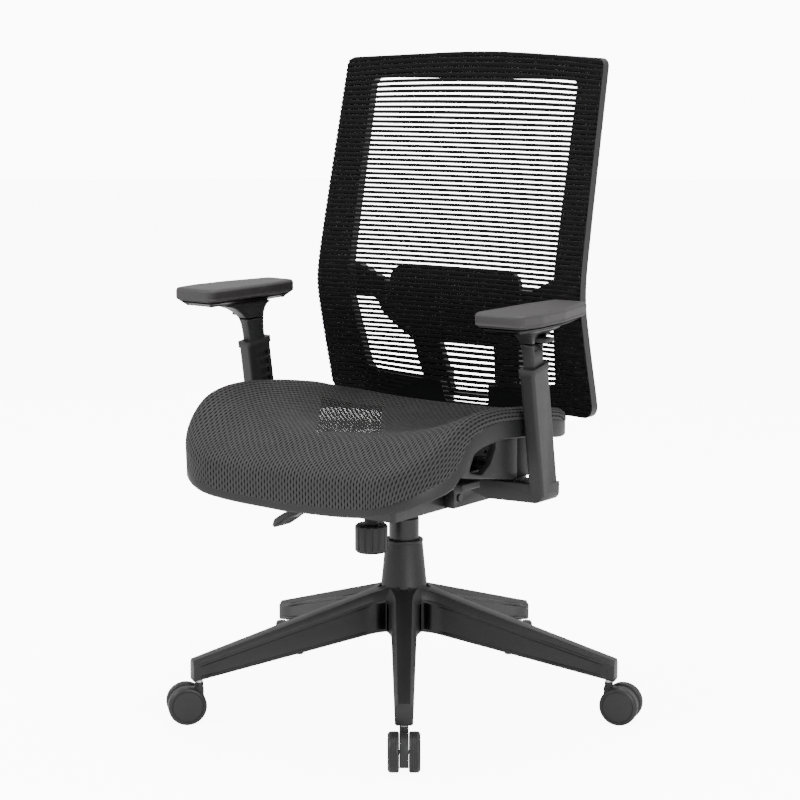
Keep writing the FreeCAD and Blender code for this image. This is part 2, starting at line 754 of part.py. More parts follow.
def make_tension_spring():
    """Coil spring that loads the recline, standing round the knob's screw."""
    helix = doc.addObject("Part::Helix", "SpringPath")
    bind(helix, Pitch="5", Height="25", Radius="10")
    section = doc.addObject("Part::Circle", "SpringWire")
    section.Placement = Placement(Vector(10, 0, 0), Rotation(Vector(1, 0, 0), 90))
    bind(section, Radius="1.6")
    coil = doc.addObject("Part::Sweep", "Spring")
    coil.Sections = [section]
    coil.Spine = (helix, ["Edge1"])
    coil.Solid = True
    coil.Frenet = True
    bind(
        coil,
        Placement__Base__y="Dims.knob_y",
        Placement__Base__z="Dims.housing_floor + Dims.housing_wall + 1.8",
    )
    keep(coil, "tension_spring")


def make_knob():
    """Fluted tension knob with a ribbed neck and its screw."""
    grip = turned(
        "KnobBlank",
        [
            (0, 0), ("Dims.knob_radius - 3", 0), ("Dims.knob_radius", 3),
            ("Dims.knob_radius", "Dims.knob_top - Dims.knob_floor - 3"),
            ("Dims.knob_radius - 3", "Dims.knob_top - Dims.knob_floor"),
            (11, "Dims.knob_top - Dims.knob_floor"),
            (11, "Dims.housing_floor - Dims.knob_floor - 1"),
            (4.5, "Dims.housing_floor - Dims.knob_floor - 1"),
            (4.5, "Dims.housing_floor - Dims.knob_floor + 26"),
            (0, "Dims.housing_floor - Dims.knob_floor + 26"),
        ],
    )
    doc.recompute()
    profile = plane_sketch(grip, "flute_profile", "XY_Plane", "6")
    reach = size("knob_radius") + 1.4
    profile.addGeometry(Part.Circle(Vector(reach, 0, 0), Vector(0, 0, 1), 2.6))
    profile.addConstraint(Sketcher.Constraint("PointOnObject", 0, 3, -1))
    number = profile.addConstraint(Sketcher.Constraint("DistanceX", -1, 1, 0, 3, reach))
    profile.setExpression(f"Constraints[{number}]", "Dims.knob_radius + 1.4")
    profile.addConstraint(Sketcher.Constraint("Radius", 0, 2.6))
    flute = grip.newObject("PartDesign::Pocket", "Flute")
    flute.Profile = profile
    flute.Reversed = True
    flute.Length = 60
    doc.recompute()
    pattern = grip.newObject("PartDesign::PolarPattern", "Flutes")
    pattern.Originals = [flute]
    axes = [feature for feature in grip.Origin.OriginFeatures if feature.Role == "Z_Axis"]
    pattern.Axis = (axes[0], [""])
    pattern.Angle = 360
    bind(pattern, Occurrences="Dims.flute_count")
    grip.Tip = pattern
    bind(grip, Placement__Base__y="Dims.knob_y", Placement__Base__z="Dims.knob_floor")
    keep(grip, "tension_knob")


def make_lever():
    """Height lever: a rod with its pivot, and the paddle at its end."""
    place = Placement(
        Vector(size("lever_pivot_x"), size("lever_y"), size("lever_pivot_z")),
        Rotation(Vector(0, 1, 0), -size("lever_drop")),
    )
    arm = rod("LeverArm", "4", "Dims.lever_reach", ("-Dims.lever_reach", 0, 0), "x")
    boss = rod("LeverBoss", "5", "11", (0, "-5.5", 0), "y")
    pin = rod("LeverPin", "2.5", "23", (0, "-11.5", 0), "y")
    lever = fuse("Lever", arm, boss, pin)
    lever.Placement = place
    keep(lever, "height_lever")
    blade = box(
        "PaddleBlade",
        ("-Dims.lever_reach - Dims.paddle_length + 8", "-Dims.lever_reach + 8"),
        ("-Dims.paddle_width / 2", "Dims.paddle_width / 2"),
        ("-Dims.paddle_thick / 2", "Dims.paddle_thick / 2"),
    )
    blade = rounded("PaddleRound", blade, 10, stands_up)
    neck = rod("PaddleNeck", "6.5", "22", ("-Dims.lever_reach + 6", 0, 0), "x")
    hole = rod("PaddleHole", "4", "60", ("-Dims.lever_reach", 0, 0), "x")
    paddle = cut("Paddle", fuse("PaddleBlank", blade, neck), hole)
    paddle.Placement = place
    keep(paddle, "lever_paddle")


# ------------------------------------------------------------------------ seat


def seat_face():
    """Smooth face over the seat: a dish with raised sides and a rolled front edge."""
    half = size("seat_half") + 4
    columns = [-1, -0.92, -0.78, -0.55, -0.28, 0, 0.28, 0.55, 0.78, 0.92, 1]
    grid = []
    for along, middle, side in SEAT_SECTIONS:
        line = []
        for share in columns:
            rise = min(abs(share) / 0.92, 1) ** 2.4
            drop = 10 * max(0, abs(share) - 0.92) / 0.08
            line.append(Vector(share * half, along, middle + (side - middle) * rise - drop))
        grid.append(line)
    return freeform(grid)


def seat_outline(inset):
    """Plan of the seat, drawn in by an inset."""
    half = size("seat_half") - inset
    front = size("seat_front") + inset
    rear = size("seat_rear") - inset
    corners = [(-half, front), (half, front), (half, rear), (-half, rear)]
    near = size("seat_front_corner") - inset
    far = size("seat_rear_corner") - inset
    return rounded_polygon(corners, [near, near, far, far])


def make_seat():
    """Mesh, plastic frame with side walls, steel plate and its screws."""
    face = seat_face()
    thick = size("mesh_thick")
    plan = prism(seat_outline(0), Vector(0, 0, 700))
    mesh = slab(face, Vector(0, 0, -thick), Vector(0, 0, thick)).common(plan)
    keep(feature_of(mesh, "SeatMesh"), "seat_mesh")

    depth = size("rim_depth")
    ring = plan.cut(prism(seat_outline(size("rim_width")), Vector(0, 0, 700)))
    rim = slab(face, Vector(0, 0, -thick - depth), Vector(0, 0, depth)).common(ring)
    below = slab(face, Vector(0, 0, -thick - 200), Vector(0, 0, 200))
    floor = size("frame_floor")
    high = 200
    outer = size("seat_half") - 12
    inner = outer - size("wall_thick")
    front = size("wall_front")
    rear = size("wall_rear")
    solids = [rim]
    for low, top in ((inner, outer), (-outer, -inner)):
        wall = Part.makeBox(top - low, rear - front, high, Vector(low, front, floor))
        window = Part.makeBox(top - low + 4, 46, 34, Vector(low - 2, front + 22, floor + 34))
        corners = [edge for edge in window.Edges if runs_along(edge, Vector(1, 0, 0))]
        solids.append(wall.cut(window.makeFillet(11, corners)).common(below))
    beam = size("frame_beam")
    for start in (front, rear - 46):
        solids.append(Part.makeBox(2 * outer, 46, beam, Vector(-outer, start, floor)))
    frame = solids[0].multiFuse(solids[1:]).removeSplitter()
    keep(feature_of(frame, "SeatFrame"), "seat_frame")

    plate = box(
        "PlateSheet",
        ("-Dims.plate_half", "Dims.plate_half"),
        ("Dims.plate_front", "Dims.plate_rear"),
        ("Dims.plate_floor", "Dims.frame_floor"),
    )
    ears = []
    places = (("Left", "Dims.housing_half + 2"), ("Right", "-Dims.housing_half - 2 - Dims.ear_thick"))
    for side, low in places:
        ears.append(
            box(
                f"PlateEar{side}",
                (low, f"{low} + Dims.ear_thick"),
                ("Dims.seat_pivot_y - 14", "Dims.seat_pivot_y + 14"),
                ("Dims.seat_pivot_z - 12", "Dims.plate_floor + 1"),
            )
        )
    bore_start = ("-120", "Dims.seat_pivot_y", "Dims.seat_pivot_z")
    bore = rod("PlateBore", "Dims.seat_pin_radius + Dims.running_gap", "240", bore_start, "x")
    keep(cut("SeatPlate", fuse("PlateBlank", plate, *ears), bore), "seat_plate")

    screws = []
    top = size("frame_floor") + size("frame_beam")
    for across in (-110, 110):
        for along in (front + 23, rear - 23):
            screws.append(Part.makeCylinder(5, 3, Vector(across, along, top)))
    keep(feature_of(Part.makeCompound(screws), "SeatScrews"), "seat_screws")


# ------------------------------------------------------------------------ arms


def arm_place(side):
    """Placement of an arm's sleeve: its foot, leaning forward."""
    foot = Vector(side * size("sleeve_x"), size("sleeve_y"), size("sleeve_foot"))
    lean = Rotation(Vector(1, 0, 0), size("sleeve_lean"))
    toe = Rotation(Vector(0, 0, 1), side * size("sleeve_toe"))
    return Placement(foot, lean * toe)


def make_arm(side, name):
    """Bracket with its sleeve, sliding post, trigger, tray and pad of one arm."""
    place = arm_place(side)
    tag = name.title()
    tube = box(
        tag + "Tube",
        ("-Dims.sleeve_thick / 2", "Dims.sleeve_thick / 2"),
        ("-Dims.sleeve_depth / 2", "Dims.sleeve_depth / 2"),
        (0, "Dims.sleeve_length"),
    )
    tube = rounded(tag + "TubeRound", tube, size("sleeve_round"), stands_up)
    half_thick = "(Dims.sleeve_thick / 2 + Dims.collar_proud)"
    half_deep = "(Dims.sleeve_depth / 2 + Dims.collar_proud)"
    collar = box(
        tag + "Collar",
        (f"-{half_thick}", half_thick),
        (f"-{half_deep}", half_deep),
        ("Dims.sleeve_length - Dims.collar_height", "Dims.sleeve_length"),
    )
    collar = rounded(tag + "CollarRound", collar, size("sleeve_round"), stands_up)
    channel = box(
        tag + "Channel",
        ("-Dims.post_thick / 2 - Dims.clear_gap", "Dims.post_thick / 2 + Dims.clear_gap"),
        ("-Dims.post_depth / 2 - Dims.clear_gap", "Dims.post_depth / 2 + Dims.clear_gap"),
        ("20", "Dims.sleeve_length + 5"),
    )
    slots = []
    for number in range(int(size("notch_count"))):
        level = f"Dims.slot_first + {number} * Dims.slot_pitch"
        near, far = "-Dims.sleeve_thick / 2 - 2", "-Dims.sleeve_thick / 2 + 3"
        span = (near, far) if side > 0 else (f"-({far})", f"-({near})")
        slots.append(box(f"{tag}Slot{number}", span, ("-4", "16"), (level, f"{level} + Dims.slot_height")))
    sleeve = cut(tag + "Sleeve", fuse(tag + "SleeveBlank", tube, collar), channel, *slots)
    sleeve.Placement = place
    inner, outer = "Dims.bar_inner", "Dims.sleeve_x + Dims.sleeve_thick / 2"
    span = (inner, outer) if side > 0 else (f"-({outer})", f"-({inner})")
    bar = box(
        tag + "Bar",
        span,
        ("Dims.sleeve_y - Dims.sleeve_depth / 2", "Dims.sleeve_y + Dims.sleeve_depth / 2"),
        ("Dims.bar_floor", "Dims.plate_floor"),
    )
    outer_end = side * (size("sleeve_x") + size("sleeve_thick") / 2)
    bar = rounded(
        tag + "BarRound",
        bar,
        12,
        lambda edge: runs_along(edge, Vector(0, 1, 0))
        and abs(edge.CenterOfMass.x - outer_end) < 1
        and edge.CenterOfMass.z < size("bar_floor") + 1,
    )
    keep(fuse(tag + "Bracket", sleeve, bar), f"arm_bracket_{name}")

    post = box(
        tag + "Slide",
        ("-Dims.post_thick / 2", "Dims.post_thick / 2"),
        ("-Dims.post_depth / 2", "Dims.post_depth / 2"),
        ("Dims.post_foot", "Dims.post_head"),
    )
    post = rounded(tag + "SlideRound", post, 3, stands_up)
    notches = []
    for number in range(int(size("notch_count"))):
        level = f"Dims.post_foot + 40 + {number} * Dims.notch_pitch"
        face = "-Dims.post_thick / 2"
        near, far = f"{face} - 1", f"{face} + 2.5"
        span = (near, far) if side > 0 else (f"-({far})", f"-({near})")
        notches.append(box(f"{tag}Notch{number}", span, ("-9", "9"), (level, f"{level} + 6")))
    slide = cut(tag + "SlideCut", post, *notches)
    slide.Placement = place
    middle_x = f"{side} * Dims.sleeve_x"
    lean = math.tan(math.radians(size("sleeve_lean")))
    middle_y = size("sleeve_y") - (size("head_floor") - size("sleeve_foot")) * lean
    head = box(
        tag + "Head",
        (f"{middle_x} - Dims.head_half_x", f"{middle_x} + Dims.head_half_x"),
        (f"{middle_y} - Dims.head_half_y", f"{middle_y} + Dims.head_half_y"),
        ("Dims.head_floor", "Dims.head_top"),
    )
    head = rounded(tag + "HeadRound", head, 6, stands_up)
    tray = box(
        tag + "Tray",
        (f"{side} * Dims.pad_x - 24", f"{side} * Dims.pad_x + 24"),
        ("Dims.pad_y - 62", "Dims.pad_y + 62"),
        ("Dims.head_top - 0.5", "Dims.tray_top"),
    )
    tray = rounded(tag + "TrayRound", tray, 16, stands_up)
    pocket_inner = f"{middle_x} + {side} * 3"
    pocket_outer = f"{middle_x} + {side} * 30"
    span = (pocket_inner, pocket_outer) if side > 0 else (pocket_outer, pocket_inner)
    half_wide = "(Dims.trigger_width / 2 + Dims.clear_gap)"
    pocket = box(
        tag + "Pocket",
        span,
        (f"{middle_y} - {half_wide}", f"{middle_y} + {half_wide}"),
        ("Dims.head_floor - 5", "Dims.head_top - 5"),
    )
    pivot_x = f"{middle_x} + {side} * 9"
    pivot_z = "Dims.head_floor + 8"
    bore_start = (pivot_x, f"{middle_y} - 17", pivot_z)
    pivot_bore = rod(tag + "PivotBore", "2 + Dims.running_gap", "34", bore_start, "y")
    bore_foot = (f"{side} * Dims.pad_x", "Dims.pad_y", "Dims.head_top - 4")
    swivel_bore = rod(tag + "SwivelBore", "6 + Dims.running_gap", "40", bore_foot)
    post_solid = fuse(tag + "PostBlank", slide, head, tray)
    keep(cut(tag + "Post", post_solid, pocket, pivot_bore, swivel_bore), f"arm_post_{name}")

    near = f"{pivot_x} - {side} * 4.5"
    far = f"{middle_x} + {side} * (Dims.head_half_x + Dims.trigger_reach - 8)"
    span = (near, far) if side > 0 else (far, near)
    blade = box(
        tag + "Blade",
        span,
        (f"{middle_y} - Dims.trigger_width / 2", f"{middle_y} + Dims.trigger_width / 2"),
        ("Dims.head_floor + 4", "Dims.head_floor + 11"),
    )
    blade = rounded(tag + "BladeRound", blade, 3, lambda edge: runs_along(edge, Vector(0, 1, 0)))
    pin = rod(tag + "TriggerPin", "2", "32", (pivot_x, f"{middle_y} - 16", pivot_z), "y")
    keep(fuse(tag + "Trigger", blade, pin), f"arm_trigger_{name}")

    pad_axis = Vector(side * size("pad_x"), size("pad_y"), 0)
    pad_turn = Placement(pad_axis, Rotation(Vector(0, 0, 1), side * size("pad_toe")))
    tray_floor = "Dims.tray_top + Dims.clear_gap"
    base = box(tag + "PadBase", ("-27", "27"), ("-78", "78"), (tray_floor, "Dims.pad_floor"))
    base = rounded(tag + "PadBaseRound", base, 18, stands_up)
    stud = rod(tag + "PadStud", "6", "9", (0, 0, "Dims.head_top - 3.5"))
    pad_base = fuse(tag + "PadBaseSolid", base, stud)
    pad_base.Placement = pad_turn
    keep(pad_base, f"arm_pad_base_{name}")
    pad = make_pad(tag)
    pad.Placement = pad_turn
    keep(pad, f"arm_pad_{name}")


def make_pad(tag):
    """Soft-topped arm pad, wider towards its front."""
    body = new_body(tag + "Pad")
    sketch = plane_sketch(body, tag + "PadPlan", "XY_Plane", "Dims.pad_floor")
    outline(
        sketch,
        [
            ("-Dims.pad_front_half + 8", "-Dims.pad_length / 2"),
            ("Dims.pad_front_half - 8", "-Dims.pad_length / 2"),
            ("Dims.pad_front_half", "-Dims.pad_length / 2 + 50"),
            ("Dims.pad_front_half - 2", "-Dims.pad_length / 2 + 95"),
            ("Dims.pad_rear_half", "Dims.pad_length / 2 - 30"),
            ("Dims.pad_rear_half - 6", "Dims.pad_length / 2"),
            ("-Dims.pad_rear_half + 6", "Dims.pad_length / 2"),
            ("-Dims.pad_rear_half", "Dims.pad_length / 2 - 30"),
            ("-Dims.pad_front_half + 2", "-Dims.pad_length / 2 + 95"),
            ("-Dims.pad_front_half", "-Dims.pad_length / 2 + 50"),
        ],
    )
    pad = body.newObject("PartDesign::Pad", tag + "PadBlock")
    pad.Profile = sketch
    bind(pad, Length="Dims.pad_top - Dims.pad_floor")
    doc.recompute()
    corners = []
    for i, edge in enumerate(pad.Shape.Edges, start=1):
        if stands_up(edge) and abs(abs(edge.CenterOfMass.y) - size("pad_length") / 2) < 1:
            corners.append(f"Edge{i}")
    corner = body.newObject("PartDesign::Fillet", tag + "PadCorners")
    corner.Base = (pad, corners)
    corner.Radius = 14
    doc.recompute()
    rims = []
    for i, edge in enumerate(corner.Shape.Edges, start=1):
        if edge.BoundBox.ZMin > size("pad_top") - 0.1:
            rims.append(f"Edge{i}")
    crown = body.newObject("PartDesign::Chamfer", tag + "PadCrown")
    crown.Base = (corner, rims)
    crown.Size = 3
    return body


# ------------------------------------------------------------------------ back


def back_edge(height):
    """How far back the edge of the back lies: two slopes joined by a soft bend."""
    upper = size("back_upper_slope")
    lower = size("back_lower_slope")
    above = height - size("back_waist")
    bend = size("back_bend")
    turn = math.hypot(above, bend) - bend
    return size("back_waist_y") + (upper - lower) / 2 * above + (upper + lower) / 2 * turn


def back_face():
    """Smooth face of the back: bowed in plan, bent forward at the waist."""
    half = size("back_waist_half") + 4
    low = size("back_floor") - 6
    step = (size("back_crown") + 6 - low) / 15
    shares = [-1, -0.75, -0.5, -0.25, 0, 0.25, 0.5, 0.75, 1]
    grid = []
    for row in range(16):
        height = low + row * step
        edge = back_edge(height)
        bow = size("back_bow")
        grid.append([])
        for share in shares:
            grid[-1].append(Vector(share * half, edge + bow * (1 - share * share), height))
    return freeform(grid)


def upright_prism(corners, radii):
    """Prism along +Y whose section is a rounded polygon in X and Z."""
    wire = rounded_polygon(corners, radii)
    wire.rotate(Vector(), Vector(1, 0, 0), 90)
    return prism(wire, Vector(0, 400, 0))


def back_outline():
    """Whole outline of the back, with a slightly arched top edge."""
    half = [
        (size("back_waist_half"), size("back_floor")),
        (size("back_waist_half"), size("back_waist")),
        (size("back_top_half"), size("back_top")),
    ]
    corners = mirrored_polygon(half)
    corners.insert(3, (0, size("back_crown")))
    corner = size("back_corner")
    return upright_prism(corners, [22, 60, corner, 1500, corner, 60, 22])


def back_window():
    """Opening of the back frame."""
    half = [
        (size("window_foot_half"), size("window_foot")),
        (size("window_top_half"), size("back_waist") - 16),
        (size("window_top_half"), size("window_top")),
    ]
    return upright_prism(mirrored_polygon(half), [14, 60, 12, 12, 60, 14])


def make_back():
    """Mesh, frame, lumbar pad, spine and yoke of the back."""
    face = back_face()
    thick = size("mesh_thick")
    whole = back_outline()
    mesh = slab(face, Vector(), Vector(0, thick, 0)).common(whole)
    keep(feature_of(mesh, "BackMesh"), "back_mesh")

    half = [(42, 474), (54, 562)]
    window = upright_prism(mirrored_polygon(half), [8] * 4)
    layer = slab(face, Vector(0, thick, 0), Vector(0, size("frame_deep"), 0))
    frame = layer.common(whole.cut(back_window()).cut(window))
    keep(feature_of(frame, "BackFrame"), "back_frame")

    near = size("lumbar_near")
    layer = slab(face, Vector(0, near, 0), Vector(0, size("lumbar_far") - near, 0))
    half = size("lumbar_half")
    low = size("lumbar_floor")
    top = size("lumbar_top")
    pad = upright_prism([(half, low), (half, top), (-half, top), (-half, low)], [22] * 4)
    keep(feature_of(layer.common(pad), "LumbarPad"), "lumbar_pad")

    near = size("spine_near")
    layer = slab(face, Vector(0, near, 0), Vector(0, size("spine_far") - near, 0))
    half = [
        (84, 470), (96, 503), (104, 560), (131, 580), (154, 602), (162, 626),
        (230, 636), (230, 676), (194, 682), (142, 656),
    ]
    radii = [4, 12, 12, 14, 12, 10, 6, 6, 12, 10]
    spread = upright_prism(mirrored_polygon(half), radii + radii[::-1])
    spine = layer.common(spread.cut(window))
    make_yoke(feature_of(spine, "SpineBlank"))


def make_yoke(spine):
    """Spine, the yoke that joins it to the recline pivot, and their screws."""
    arms = []
    for side, low, high in (
        ("Left", "Dims.housing_half + 2", "Dims.yoke_half"),
        ("Right", "-Dims.yoke_half", "-Dims.housing_half - 2"),
    ):
        arms.append(
            box(
                f"YokeArm{side}",
                (low, high),
                ("Dims.recline_y - 16", "Dims.yoke_plate_y + Dims.yoke_plate_thick"),
                ("Dims.recline_z - 15", "Dims.recline_z + 15"),
            )
        )
    plate_span = ("Dims.yoke_plate_y", "Dims.yoke_plate_y + Dims.yoke_plate_thick")
    plate_rise = ("Dims.recline_z - 15", "Dims.yoke_bridge")
    plate = box("YokePlate", ("-Dims.yoke_half", "Dims.yoke_half"), plate_span, plate_rise)
    post_span = ("Dims.yoke_post_y", "Dims.yoke_plate_y + Dims.yoke_plate_thick")
    posts = [
        box(f"YokePost{number}", (low, high), post_span, ("Dims.yoke_bridge - 1", "Dims.yoke_top"))
        for number, low, high in (
            (1, "Dims.yoke_half - 28", "Dims.yoke_half"),
            (2, "-Dims.yoke_half", "-Dims.yoke_half + 28"),
        )
    ]
    bore_start = ("-120", "Dims.recline_y", "Dims.recline_z")
    bore = rod("YokeBore", "Dims.recline_pin_radius + Dims.running_gap", "240", bore_start, "x")
    blank = fuse("YokeBlank", plate, *arms, *posts)
    blank = rounded(
        "YokeRound",
        blank,
        12,
        lambda edge: runs_along(edge, Vector(1, 0, 0))
        and edge.CenterOfMass.y > size("yoke_plate_y") + 5
        and edge.CenterOfMass.z < size("recline_z"),
    )
    shanks = []
    start = size("yoke_plate_y") - 12
    for across in (-72, 72):
        for height in (484, 498):
            shank = Part.makeCylinder(3.5, 24, Vector(across, start, height), Vector(0, 1, 0))
            shanks.append(shank)
    screws = feature_of(Part.makeCompound(shanks), "BackScrews")
    keep(screws, "back_screws")
    keep(cut("Spine", spine, screws), "back_spine")
    keep(cut("Yoke", blank, bore, screws, spine), "back_yoke")


# ---------------------------------------------------------------------- export


def check_document():
    """Stops when any object failed or any piece is not one valid shape."""
    for item in doc.Objects:
        faults = [state for state in item.State if state in ("Invalid", "Error")]
        if faults:
            raise RuntimeError(f"{item.Name} is {faults}")
    for piece in pieces:
        shape = piece.Shape
        if shape.isNull() or not shape.isValid() or not shape.Solids:
            raise RuntimeError(f"{piece.Label} has no valid shape")
        print(f"{piece.Label:24s} {len(shape.Solids):3d} solids {shape.Volume / 1000:10.2f} cm3")


make_star_base()
make_column()
for number in range(int(size("arm_count"))):
    make_caster(number)
make_mechanism()
make_seat()
make_arm(1, "left")
make_arm(-1, "right")
make_back()
doc.recompute()
check_document()
os.makedirs("parts", exist_ok=True)
for piece in pieces:
    piece.Shape.exportStep(f"parts/{piece.Label}.step")
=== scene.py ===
"""Looks of a swivel office chair with mesh back and mesh seat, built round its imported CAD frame."""

from __future__ import annotations

import logging
import math
from dataclasses import dataclass
from enum import Enum
from typing import Any, Iterable, Sequence

import bmesh
import bpy
from mathutils import Matrix, Vector


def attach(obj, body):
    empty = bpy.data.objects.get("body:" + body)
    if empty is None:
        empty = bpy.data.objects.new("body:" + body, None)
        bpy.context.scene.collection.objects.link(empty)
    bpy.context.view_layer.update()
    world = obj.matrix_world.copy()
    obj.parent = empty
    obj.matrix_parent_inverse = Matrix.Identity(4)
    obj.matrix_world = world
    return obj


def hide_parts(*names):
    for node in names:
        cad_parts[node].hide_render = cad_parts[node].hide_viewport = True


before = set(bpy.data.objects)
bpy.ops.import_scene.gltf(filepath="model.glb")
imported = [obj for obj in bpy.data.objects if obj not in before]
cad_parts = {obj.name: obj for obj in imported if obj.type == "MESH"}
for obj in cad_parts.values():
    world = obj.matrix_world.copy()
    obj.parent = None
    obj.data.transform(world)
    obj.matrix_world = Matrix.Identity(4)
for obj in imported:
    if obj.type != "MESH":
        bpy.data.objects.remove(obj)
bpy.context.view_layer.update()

LOG = logging.getLogger("office_chair")
WELD = 1e-5
SHARP_ANGLE = math.radians(32)

Point = tuple[float, float]
Colour = tuple[float, float, float]


class Side(Enum):
    """Side of the chair, as the sitter sees it."""

    LEFT = 1
    RIGHT = -1

    @property
    def word(self) -> str:
        """Name of the side as it stands in the names of the pieces."""
        return self.name.lower()


class Slot(Enum):
    """Names of the material slots."""

    NYLON = "nylon"
    MESH = "mesh"
    PAD = "pad"
    WHEEL = "wheel"
    BLACK_STEEL = "black_steel"
    CHROME = "chrome"
    STEEL = "steel"


# ------------------------------------------------------------------------ curves


class Smooth:
    """Smooth curve of one value over another, through given points."""

    def __init__(self, points: Sequence[Point], level_ends: bool = False) -> None:
        """Keeps the points and works out the slope at each.

        Args:
            points: pairs of place and value, in rising order of place.
            level_ends: whether the curve runs level at its two ends.
        """
        self.x = [p[0] for p in points]
        self.y = [p[1] for p in points]
        steps = [
            (self.y[i + 1] - self.y[i]) / (self.x[i + 1] - self.x[i])
            for i in range(len(points) - 1)
        ]
        inner = [(a + b) / 2 for a, b in zip(steps, steps[1:])]
        ends = (0.0, 0.0) if level_ends else (steps[0], steps[-1])
        self.slope = [ends[0], *inner, ends[1]]

    def __call__(self, x: float) -> float:
        """Value at a place; beyond the ends it keeps the end's value."""
        if x <= self.x[0]:
            return self.y[0]
        if x >= self.x[-1]:
            return self.y[-1]
        i = max(k for k, start in enumerate(self.x[:-1]) if start <= x)
        width = self.x[i + 1] - self.x[i]
        t = (x - self.x[i]) / width
        return (
            (2 * t**3 - 3 * t**2 + 1) * self.y[i]
            + (t**3 - 2 * t**2 + t) * width * self.slope[i]
            + (3 * t**2 - 2 * t**3) * self.y[i + 1]
            + (t**3 - t**2) * width * self.slope[i + 1]
        )


def ease(low: float, high: float, x: float) -> float:
    """Smooth step from 0 at low to 1 at high."""
    t = min(1.0, max(0.0, (x - low) / (high - low)))
    return t * t * (3 - 2 * t)


def mix(a: float, b: float, share: float) -> float:
    """Value between a and b."""
    return a + (b - a) * share


# ----------------------------------------------------------------------- shaders


class Signal:
    """A shader socket that takes part in arithmetic."""

    def __init__(self, shader: "Shader", socket: bpy.types.NodeSocket) -> None:
        """Wraps an output socket of a shader's tree."""
        self.shader = shader
        self.socket = socket

    def maths(self, operation: str, *operands: Any) -> "Signal":
        """Adds a Math node.

        Args:
            operation: the node's operation.
            operands: its inputs, signals or numbers, in order.

        Returns:
            The node's result.
        """
        inputs = dict(enumerate(operands))
        return self.shader.node("ShaderNodeMath", {"operation": operation}, inputs)

    def __add__(self, other: Any) -> "Signal":
        """Sum."""
        return self.maths("ADD", self, other)

    def __radd__(self, other: Any) -> "Signal":
        """Sum, with the signal second."""
        return self.maths("ADD", other, self)

    def __sub__(self, other: Any) -> "Signal":
        """Difference."""
        return self.maths("SUBTRACT", self, other)

    def __rsub__(self, other: Any) -> "Signal":
        """Difference, with the signal second."""
        return self.maths("SUBTRACT", other, self)

    def __mul__(self, other: Any) -> "Signal":
        """Product."""
        return self.maths("MULTIPLY", self, other)

    def __truediv__(self, other: Any) -> "Signal":
        """Quotient."""
        return self.maths("DIVIDE", self, other)

    def __abs__(self) -> "Signal":
        """Size without its sign."""
        return self.maths("ABSOLUTE", self)

    def sine(self) -> "Signal":
        """Sine of an angle in radians."""
        return self.maths("SINE", self)

    def fraction(self) -> "Signal":
        """Part after the decimal point."""
        return self.maths("FRACT", self)

    def floor(self) -> "Signal":
        """Next whole number below."""
        return self.maths("FLOOR", self)

    def at_least(self, other: Any) -> "Signal":
        """The larger of two."""
        return self.maths("MAXIMUM", self, other)

    def below(self, other: Any) -> "Signal":
        """1 where the signal is below the other value, else 0."""
        return self.maths("LESS_THAN", self, other)


class Shader:
    """Node tree of one material, built by expressions."""

    def __init__(self, name: str) -> None:
        """Makes a material with an empty tree."""
        self.material = bpy.data.materials.new(name)
        self.material.use_nodes = True
        self.tree = self.material.node_tree
        self.tree.nodes.clear()

    def node(
        self, kind: str, settings: dict[str, Any], inputs: dict[Any, Any], output: Any = 0
    ) -> Signal:
        """Adds a node.

        Args:
            kind: type of the node.
            settings: its properties, set first.
            inputs: values or signals of its sockets, by name or number.
            output: name or number of the output to return.

        Returns:
            The chosen output.
        """
        made = self.tree.nodes.new(kind)
        for key, value in settings.items():
            setattr(made, key, value)
        for key, value in inputs.items():
            socket = made.inputs[key]
            if isinstance(value, Signal):
                self.tree.links.new(value.socket, socket)
            else:
                socket.default_value = value
        return Signal(self, made.outputs[output])

    def place(self, scale: Sequence[float] = (1, 1, 1)) -> Signal:
        """Object coordinates, scaled."""
        where = self.node("ShaderNodeTexCoord", {}, {}, "Object")
        return self.node("ShaderNodeMapping", {}, {"Vector": where, "Scale": scale})

    def cloth(self) -> tuple[Signal, Signal]:
        """The two coordinates of the piece's own cloth map, in metres."""
        where = self.node("ShaderNodeUVMap", {"uv_map": "cloth"}, {})
        across = self.node("ShaderNodeSeparateXYZ", {}, {0: where}, "X")
        along = self.node("ShaderNodeSeparateXYZ", {}, {0: where}, "Y")
        return across, along

    def noise(self, scale: float, detail: float = 2.0, place: Signal | None = None) -> Signal:
        """Noise of a size per metre."""
        inputs = {"Vector": place or self.place(), "Scale": scale, "Detail": detail}
        return self.node("ShaderNodeTexNoise", {}, inputs, 0)

    def blend(self, share: Any, first: Any, second: Any) -> Signal:
        """Colour between two colours."""
        settings = {"data_type": "RGBA"}
        inputs = {0: share, 6: first, 7: second}
        return self.node("ShaderNodeMix", settings, inputs, 2)

    def bump(self, height: Signal, distance: float, strength: float = 1.0) -> Signal:
        """Normal that follows a height."""
        inputs = {"Height": height, "Distance": distance, "Strength": strength}
        return self.node("ShaderNodeBump", {}, inputs)

    def close(self, sockets: dict[str, Any]) -> bpy.types.Material:
        """Adds the main shader and the output.

        Args:
            sockets: values or signals of the main shader's sockets.

        Returns:
            The finished material.
        """
        body = self.node("ShaderNodeBsdfPrincipled", {}, sockets)
        output = self.tree.nodes.new("ShaderNodeOutputMaterial")
        self.tree.links.new(body.socket, output.inputs["Surface"])
        return self.material


def shade(colour: Colour, factor: float) -> tuple[float, float, float, float]:
    """Colour made lighter or darker, with full alpha."""
    return (*(min(1.0, c * factor) for c in colour), 1.0)


